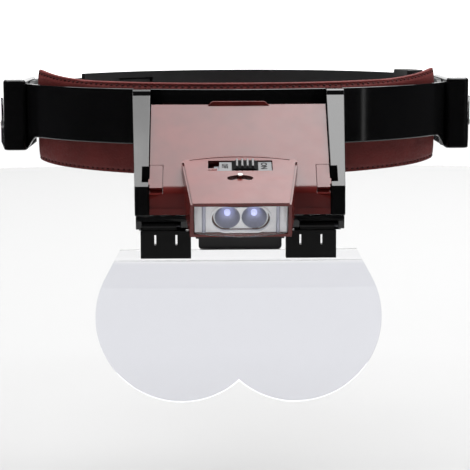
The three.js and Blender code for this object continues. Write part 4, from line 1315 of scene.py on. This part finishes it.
@dataclass
class Battery:
    """Burgundy cover with its catches, and the cells in their cradle."""

    edge: float = 0.4
    fold_y: float = -129.0
    fold_z: tuple[float, float] = (-30.0, -22.0)
    fold_radius: float = 2.2
    tab_low: float = 4.4
    tab_round: float = 0.4
    hook_end: float = 35.5
    catch_growth: float = 1.025

    def roof(self) -> None:
        """Makes the cover, with the fold above its front and the finger tab rounded."""
        low, high = self.fold_z
        roof = Workpiece.copy_of("battery_cover", "cover_roof")
        roof.pick(Pick.EDGE, lambda spot, way: abs(way.x) > 0.98 and spot.y < self.fold_y and low < spot.z < high)
        roof.bevel_picked(self.fold_radius, 7)
        roof.pick(Pick.EDGE, lambda spot, _: spot.z > self.tab_low)
        roof.bevel_picked(self.tab_round, 4)
        roof.round_edges(self.edge).finish(Body.COVER, BURGUNDY, "battery_cover")

    def catch(self, side: Side) -> None:
        """Makes a snap catch, with a fine seam round it.

        Args:
            side: The side that it is on.
        """
        name = side.name.lower()
        catch = Workpiece.copy_of(f"cover_catch_{name}", f"snap_catch_{name}")
        catch.slice((side.value * self.hook_end, 0, 0), (side.value, 0, 0))
        spots = [vert.co / MM for vert in catch.thing.data.vertices]
        middle = sum(spots, Vector()) / len(spots)
        catch.open_all()
        catch.resize((self.catch_growth, 1, self.catch_growth), middle)
        catch.round_edges(0.12, 2).finish(Body.COVER, BURGUNDY, f"cover_catch_{name}")

    def build(self) -> None:
        """Makes the cover and dresses what it hides."""
        self.roof()
        for side in Side:
            self.catch(side)
        dress(CRADLE, "battery_box")
        dress(CELL, "cell_1", "cell_2", "cell_3")
        dress(SPRING, "contact_spring_1", "contact_spring_2", "contact_spring_3")
        dress(BRASS, "contact_bridge_left", "contact_bridge_right", "contact_tab_left", "contact_tab_right")


@dataclass
class Lamp:
    """Lamp head on the roof, with its swinging light unit."""

    cup_radius: float = 4.7
    cup_spacing: float = 10.1
    cup_depth: float = 4.5
    cup_front: float = -8.15
    cup_z: float = -9.2
    led_radius: float = 1.2
    cup_rings: int = 10
    opening_half_width: float = 10.9
    opening_radius: float = 5.2
    opening_z: float = -9.0
    rim_width: float = 0.7
    rim_rise: float = 0.7
    block_half_width: float = 10.3
    block_radius: float = 5.05
    panel: tuple[float, float, float, float] = (17.5, -14.8, -1.9, 0.8)
    panel_front: float = -9.7
    rib_x: float = 13.9
    rib_radius: float = 0.75
    ledge: tuple[float, float, float, float] = (-12.5, -8.7, 11.6, 13.9)
    ledge_thickness: float = 0.42
    line: float = 0.75
    side_x: float = 20.05
    side_angle: float = 6.25
    back_arc: tuple[float, float] = (-43.5, 70.25)
    back_reach: float = 16.2
    line_half_length: float = 18.5
    line_y: float = 0.3
    line_steps: int = 24
    cup_sides: int = 56
    led_recess: float = 2.2
    led_length: float = 4.0
    nose: float = 1.05

    def head(self) -> None:
        """Makes the lamp's housing, with fine lines round its top and the ledge in its switch slot."""
        head = Workpiece.copy_of("lamp_housing", "lamp_head")
        head.round_edges(0.3)
        half, end = self.line / 2, self.line_half_length
        for side in Side:
            slot = Workpiece.box("slot", (-half, -end, -self.line), (half, end, 1))
            turn = Matrix.Rotation(-side.value * math.radians(self.side_angle), 4, "Z")
            spot = Matrix.Translation(Vector((side.value * self.side_x, self.line_y, 0)) * MM)
            head.combine(slot.move(LAMP_PLACE @ spot @ turn), "DIFFERENCE")
        middle_y, outer = self.back_arc
        radii = (outer - self.line * 0.7, outer)
        slot = Workpiece.arc_wall("slot", radii, -self.line, 1, self.back_reach, self.line_steps)
        turn = Matrix.Translation(Vector((0, middle_y, 0)) * MM) @ Matrix.Rotation(math.pi, 4, "Z")
        head.combine(slot.move(LAMP_PLACE @ turn), "DIFFERENCE")
        left, right, front, back = self.ledge
        ledge = Workpiece.box("ledge", (left, front, -self.ledge_thickness), (right, back, -0.04)).move(LAMP_PLACE)
        head.combine(ledge, "UNION").smooth(35).finish(Body.COVER, BURGUNDY, "lamp_housing")

    def surround(self) -> None:
        """Makes the pale panel round the light block, with its rim and ribs."""
        half_width, low, high, thickness = self.panel
        panel = Workpiece.box(
            "lamp_surround", (-half_width, self.panel_front, low), (half_width, self.panel_front + thickness, high)
        )
        rim_front = self.panel_front - self.rim_rise
        outer = self.opening_half_width + self.rim_width, self.opening_radius + self.rim_width
        rim = racetrack("rim", *outer, self.opening_z, rim_front, self.panel_front + thickness / 2)
        rim.bevel(0.25, 3, 60)
        opening = racetrack("opening", self.opening_half_width, self.opening_radius, self.opening_z, -20, 0)
        panel.combine(rim, "UNION").combine(opening, "DIFFERENCE").merge().round_edges(0.12, 2)
        # The panel carries the painted glow of its finish.
        panel.move(LAMP_PLACE).finish(Body.COVER, PALE_PAINTED_GLOW, "lamp_bezel")
        for side in Side:
            x = side.value * self.rib_x
            ends = ((x, self.panel_front, low + 0.1), (x, self.panel_front, high - 0.1))
            rib = Workpiece.rod(f"lamp_rib_{side.name.lower()}", *ends, self.rib_radius, 32)
            rib.smooth(50).move(LAMP_PLACE).finish(Body.COVER, SILVERED)

    def cup(self, side: Side) -> None:
        """Draws a silvered cup in rings from its mouth to its lamp.

        Args:
            side: Which of the two cups.
        """
        middle = (side.value * self.cup_spacing / 2, self.cup_front, self.cup_z)
        cup = Workpiece.disc(f"cup_{side.name.lower()}", self.cup_sides, self.cup_radius, middle, "NOTHING")
        cup.open()
        bpy.ops.mesh.select_mode(type="VERT")
        bpy.ops.mesh.select_all(action="SELECT")
        shares = [ring / self.cup_rings for ring in range(1, self.cup_rings + 1)]
        radii = [self.cup_radius * (1 - share) + self.led_radius * share for share in shares]
        rings = [(radius, self.cup_depth * (1 - (radius / self.cup_radius) ** 2)) for radius in radii]
        cup.draw_rings(middle, self.cup_radius, rings)
        cup.merge()
        cup.modify("SOLIDIFY", thickness=0.1 * MM, offset=0.0)
        cup.take_up()
        bpy.ops.object.shade_smooth_by_angle(angle=math.radians(50))
        cup.move(LAMP_PLACE).finish(Body.BEAM, SILVERED)

    def led(self, side: Side) -> None:
        """Makes a small lamp with a round nose.

        Args:
            side: Which of the two lamps.
        """
        name = side.name.lower()
        front = (side.value * self.cup_spacing / 2, self.cup_front + self.led_recess, self.cup_z)
        back = (front[0], front[1] + self.led_length, front[2])
        lamp = Workpiece.rod(f"diode_{name}", front, back, self.led_radius, 32)
        lamp.pick(Pick.FACE, lambda _, way: way.y < -0.9)
        lamp.bevel_picked(self.nose, 8)
        lamp.smooth(60).move(LAMP_PLACE).finish(Body.BEAM, LIGHT, f"led_{name}")

    def build(self) -> None:
        """Makes the lamp head and its light unit."""
        self.head()
        rounded("lamp_window", "lamp_glass", Body.COVER, WINDOW, 0.2, 2)
        self.surround()
        block = Workpiece.copy_of("reflector_unit", "light_block").move(LAMP_PLACE.inverted())
        ends = racetrack("ends", self.block_half_width, self.block_radius, self.opening_z, -20, 20)
        block.combine(ends, "INTERSECT").merge().round_edges(0.15, 2)
        # The light block carries the same painted glow.
        block.move(LAMP_PLACE).finish(Body.BEAM, PALE_PAINTED_GLOW, "reflector_unit")
        for side in Side:
            self.cup(side)
            self.led(side)
        rounded("beam_lever", "lever_pin", Body.BEAM, CHROME, 0.6, 6)
        dress(BOARD, "led_board")


@dataclass
class Switch:
    """Slide switch with its ridged knob and its two words."""

    word_height: float = 2.3
    plate_top: float = -0.5
    words: tuple[tuple[str, float, float], ...] = (("OFF", -5.9, 0.66), ("ON", 9.3, 1.1))
    word_y: float = 16.7
    knob_left: float = -3.2
    knob_right: float = 7.2
    knob_front: float = 12.2
    knob_back: float = 20.1
    knob_low: float = -0.2
    knob_top: float = 0.5
    ridges: int = 4
    ridge_pitch: float = 2.05
    ridge_width: float = 0.85
    ridge_rise: float = 0.75
    letter_share: float = 1.38
    letter_swell: float = 0.12
    letter_rise: float = 0.02

    def knob(self) -> None:
        """Makes the black knob, narrower above, with its ridges painted lighter as a painted highlight."""
        low = (self.knob_left, self.knob_front, self.knob_low)
        knob = Workpiece.box("slide_knob", low, (self.knob_right, self.knob_back, self.knob_top))
        middle = (self.knob_left + self.knob_right) / 2
        reach = (self.ridges - 1) * self.ridge_pitch / 2 + self.ridge_width / 2
        knob.pick(Pick.FACE, lambda _, way: way.z > 0.9)
        knob.resize((reach * 2 / (self.knob_right - self.knob_left), 0.9, 1), (middle, 18.0, self.knob_top))
        knob.round_edges(0.15, 2).move(LAMP_PLACE).finish(Body.SWITCH, KNOB, "switch_knob")
        for number in range(self.ridges):
            x = middle - reach + self.ridge_width / 2 + number * self.ridge_pitch
            wide = self.ridge_width / 2
            ridge = Workpiece.box(
                f"knob_ridge_{number + 1}",
                (x - wide, self.knob_front + 1.5, self.knob_top - 0.1),
                (x + wide, self.knob_back - 0.3, self.knob_top + self.ridge_rise),
            )
            # Each ridge gets the painted highlight finish.
            ridge.round_edges(0.22, 3).move(LAMP_PLACE).finish(Body.SWITCH, RIDGE_PAINTED_HIGHLIGHT)

    def word(self, text: str, x: float, breadth: float) -> None:
        """Prints a word across the end of the plate, turned a quarter.

        Args:
            text: The word.
            x: Its middle across the lamp head.
            breadth: How wide its letters are drawn.
        """
        put_down()
        bpy.ops.object.text_add()
        letters = bpy.context.active_object
        letters.data.body = text
        letters.data.align_x = "CENTER"
        letters.data.align_y = "CENTER"
        letters.data.size = self.word_height * self.letter_share * MM
        letters.data.offset = self.letter_swell * MM
        letters.data.extrude = self.letter_rise * MM
        letters.data.resolution_u = 3
        bpy.ops.object.convert(target="MESH")
        piece = Workpiece.added(f"word_{text.lower()}")
        turn = Matrix.Rotation(-math.pi / 2, 4, "Z") @ Matrix.Scale(breadth, 4, (1, 0, 0))
        spot = Matrix.Translation(Vector((x, self.word_y, self.plate_top + self.letter_rise)) * MM)
        piece.move(LAMP_PLACE @ spot @ turn).finish(Body.SWITCH, INK)

    def build(self) -> None:
        """Makes the switch."""
        self.knob()
        rounded("switch_plate", "word_plate", Body.SWITCH, LABEL, 0.1, 2)
        for word in self.words:
            self.word(*word)
        dress(SWITCH_METAL, "switch_body")


@dataclass
class MagnifyingLens:
    """Clear two-lobed plate in its clips."""

    lobe_radius: float = 33.38
    lobe_spacing: float = 45.0
    centre_drop: float = 36.2
    top: float = -9.4
    top_half_width: float = 46.0
    flange: float = 4.2
    thickness: float = 2.0
    dome: float = 2.6
    edge: float = 0.35
    trim: float = 0.02
    foot: float = 0.4
    lobe_sides: int = 160
    dome_sides: int = 192
    dome_rings: int = 26
    dome_tip: float = 0.6

    def space_above(self, name: str, height: float) -> Workpiece:
        """Makes a block that holds everything above a height."""
        return Workpiece.box(name, (-100, -20, height), (100, 20, 20))

    def outline(self, name: str, front: float, back: float) -> Workpiece:
        """Makes a slab of the lens's outline.

        Args:
            name: The piece's name.
            front: Its front, from the hinge's axis.
            back: Its back.

        Returns:
            The slab.
        """
        centre_x, drop = self.lobe_spacing / 2, -self.centre_drop
        slab, other = (
            Workpiece.rod(label, (x, front, drop), (x, back, drop), self.lobe_radius, self.lobe_sides)
            for label, x in ((name, centre_x), ("lobe", -centre_x))
        )
        slab.combine(other, "UNION")
        corner = Vector((self.top_half_width - centre_x, self.top + self.centre_drop))
        lean = math.atan2(corner.y, corner.x) - math.acos(self.lobe_radius / corner.length)
        touch_x = centre_x + self.lobe_radius * math.cos(lean)
        touch_z = -self.centre_drop + self.lobe_radius * math.sin(lean)
        crown = Workpiece.box("crown", (-touch_x, front, touch_z), (touch_x, back, self.top))
        crown.pick(Pick.FACE, lambda _, way: way.z > 0.9)
        crown.resize((self.top_half_width / touch_x, 1, 1), (0, 0, self.top))
        return slab.combine(crown, "UNION")

    def ball_slice(self) -> Workpiece:
        """Turns the dome's profile about its own axis.

        Returns:
            The dome as a closed solid.
        """
        reach = self.lobe_spacing / 2 + self.lobe_radius + 1
        ball = (reach**2 + self.dome**2) / (2 * self.dome)
        centre = (0, self.foot - self.thickness / 2, -self.centre_drop)
        cap = Workpiece.disc("dome", self.dome_sides, reach, centre, "NGON")
        cap.open_all()
        cap.extrude((0, -self.foot, 0))
        radii = [reach * (1 - ring / self.dome_rings) for ring in range(1, self.dome_rings)] + [self.dome_tip]
        rings = [(radius, ball - self.dome - math.sqrt(ball**2 - radius**2)) for radius in radii]
        cap.draw_rings(centre, reach, rings)
        return cap.merge()

    def build(self) -> None:
        """Makes the lens and its two clips."""
        half = self.thickness / 2
        plate = self.outline("clear_plate", -half, half)
        plate.combine(self.space_above("lid", self.top - self.trim), "DIFFERENCE")
        domed = self.outline("domed", -half - self.dome * 2, 0).combine(self.ball_slice(), "INTERSECT")
        domed.combine(self.space_above("room", self.top - self.flange), "DIFFERENCE")
        plate.combine(domed, "UNION").merge(0.01).round_edges(self.edge, 3)
        plate.move(LENS_PLACE).finish(Body.LENS, LENS, "lens_plate")
        for side in Side:
            name = side.name.lower()
            rounded(f"lens_clip_{name}", f"clip_{name}", Body.LENS, CLIP, 0.3, 2)


@dataclass
class Studio:
    """Camera, pale floor and soft light."""

    eye: Triple = (-10.77, -784.0, 44.1)
    yaw: float = 0.768
    pitch: float = 7.7
    roll: float = 0.251
    focal: float = 130.21
    floor_z: float = -150.0
    horizon_z: float = 78.0
    softboxes: tuple[tuple[str, Triple, Triple, tuple[float, float], float], ...] = (
        ("rear_softbox", (-0.1, 1.3, 1.95), (-0.1, 1.3, 0), (3.4, 1.5), 2.6),
        ("top_softbox", (-0.1, -0.02, 1.95), (-0.1, -0.02, 0), (3.4, 1.14), 4.9),
        ("left_softbox", (-0.8, -0.48, 1.93), (-0.8, -0.48, 0), (1.4, 0.26), 2.2),
        ("right_softbox", (1.0, 0.2, 1.9), (1.0, 0.2, 0), (2.0, 2.0), 3.6),
        ("right_rear_softbox", (1.0, 1.5, 1.9), (1.0, 1.5, 0), (2.0, 0.6), 1.6),
        ("front_fill", (-1.2, -1.6, 1.6), (0, 0, 0), (1.0, 0.8), 2.5),
        ("side_strip", (2.15, -1.0, 0.0), (0, 0, 0), (0.07, 1.3), 1.1),
    )

    def camera(self) -> None:
        """Sets the camera up as the picture was taken."""
        yaw, pitch, roll = (math.radians(angle) for angle in (self.yaw, self.pitch, self.roll))
        ahead = Vector((math.sin(yaw) * math.cos(pitch), math.cos(yaw) * math.cos(pitch), -math.sin(pitch)))
        level = Vector((math.cos(yaw), -math.sin(yaw), 0))
        above = level.cross(ahead)
        right = level * math.cos(roll) - above * math.sin(roll)
        up = level * math.sin(roll) + above * math.cos(roll)
        data = bpy.data.cameras.new("camera")
        data.lens = self.focal
        data.sensor_width = 36.0
        data.clip_start = 0.01
        camera = bpy.data.objects.new("camera", data)
        turn = Matrix((right, up, -ahead)).transposed().to_4x4()
        camera.matrix_world = Matrix.Translation(Vector(self.eye) * MM) @ turn
        bpy.context.collection.objects.link(camera)
        bpy.context.scene.camera = camera

    def softbox(self, name: str, place: Triple, aim: Triple, size: tuple[float, float], radiance: float) -> None:
        """Hangs a softbox.

        Args:
            name: Its name.
            place: Where it hangs, in metres.
            aim: What it points at, in metres.
            size: Its width and height in metres.
            radiance: How bright its face is.
        """
        data = bpy.data.lights.new(name, "AREA")
        data.shape = "RECTANGLE"
        data.size, data.size_y = size
        data.energy = radiance * math.pi * size[0] * size[1]
        light = bpy.data.objects.new(name, data)
        light.location = place
        light.rotation_euler = (Vector(aim) - Vector(place)).to_track_quat("-Z", "Y").to_euler()
        bpy.context.collection.objects.link(light)

    def plain(self, name: str, grey: float, glow: float) -> bpy.types.Material:
        """Makes a plain pale finish of the stage.

        Args:
            name: The finish's name.
            grey: Its grey.
            glow: How much light it gives off.

        Returns:
            The material.
        """
        recipe = Recipe(name)
        recipe.set(Base_Color=(grey, grey, grey, 1.0), Roughness=0.9, Specular_IOR_Level=0.0)
        recipe.set(Emission_Color=WHITE, Emission_Strength=glow)
        return recipe.material

    def stage(self) -> None:
        """Lays the floor and hangs the backdrop."""
        put_down()
        place = (0, 0.25, self.floor_z * MM)
        bpy.ops.mesh.primitive_circle_add(vertices=96, radius=1.05, fill_type="NGON", location=place)
        floor = Workpiece.added("floor")
        floor.thing.data.materials.append(self.plain("floor_pale", 0.34, 0.2))
        split = self.horizon_z
        for name, low, high, glow in (("backdrop", self.floor_z, split, 1.1), ("backdrop_above", split, 700, 0.7)):
            backdrop = Workpiece.box(name, (-2500, 2100, low), (2500, 2110, high))
            backdrop.thing.data.materials.append(self.plain(f"{name}_pale", 0.8, glow))

    def world(self) -> None:
        """Sets a white surround that the gloss does not mirror in front."""
        world = bpy.data.worlds.new("surround")
        bpy.context.scene.world = world
        world.use_nodes = True
        tree = world.node_tree
        background = tree.nodes["Background"]
        path = tree.nodes.new("ShaderNodeLightPath")
        seen = tree.nodes.new("ShaderNodeMath")
        seen.operation = "MAXIMUM"
        tree.links.new(path.outputs["Is Camera Ray"], seen.inputs[0])
        tree.links.new(path.outputs["Is Transmission Ray"], seen.inputs[1])
        mix = tree.nodes.new("ShaderNodeValToRGB")
        mix.color_ramp.elements[0].color = (0.02, 0.02, 0.022, 1)
        mix.color_ramp.elements[1].color = (1.02, 1.02, 1.02, 1)
        tree.links.new(seen.outputs["Value"], mix.inputs["Fac"])
        tree.links.new(mix.outputs["Color"], background.inputs["Color"])

    def build(self) -> None:
        """Sets up the whole studio."""
        self.camera()
        self.stage()
        self.world()
        for softbox in self.softboxes:
            self.softbox(*softbox)
        bpy.context.scene.view_settings.view_transform = "Standard"


def main() -> None:
    """Builds the sub-assemblies in order."""
    logging.basicConfig(level=logging.INFO, format="%(message)s")
    for part in (HeadFrame(), BrowPad(), RearStrap(), Battery(), Lamp(), Switch(), MagnifyingLens(), Studio()):
        LOG.info("%s", type(part).__name__)
        part.build()
    put_down()


if __name__ == "__main__":
    main()
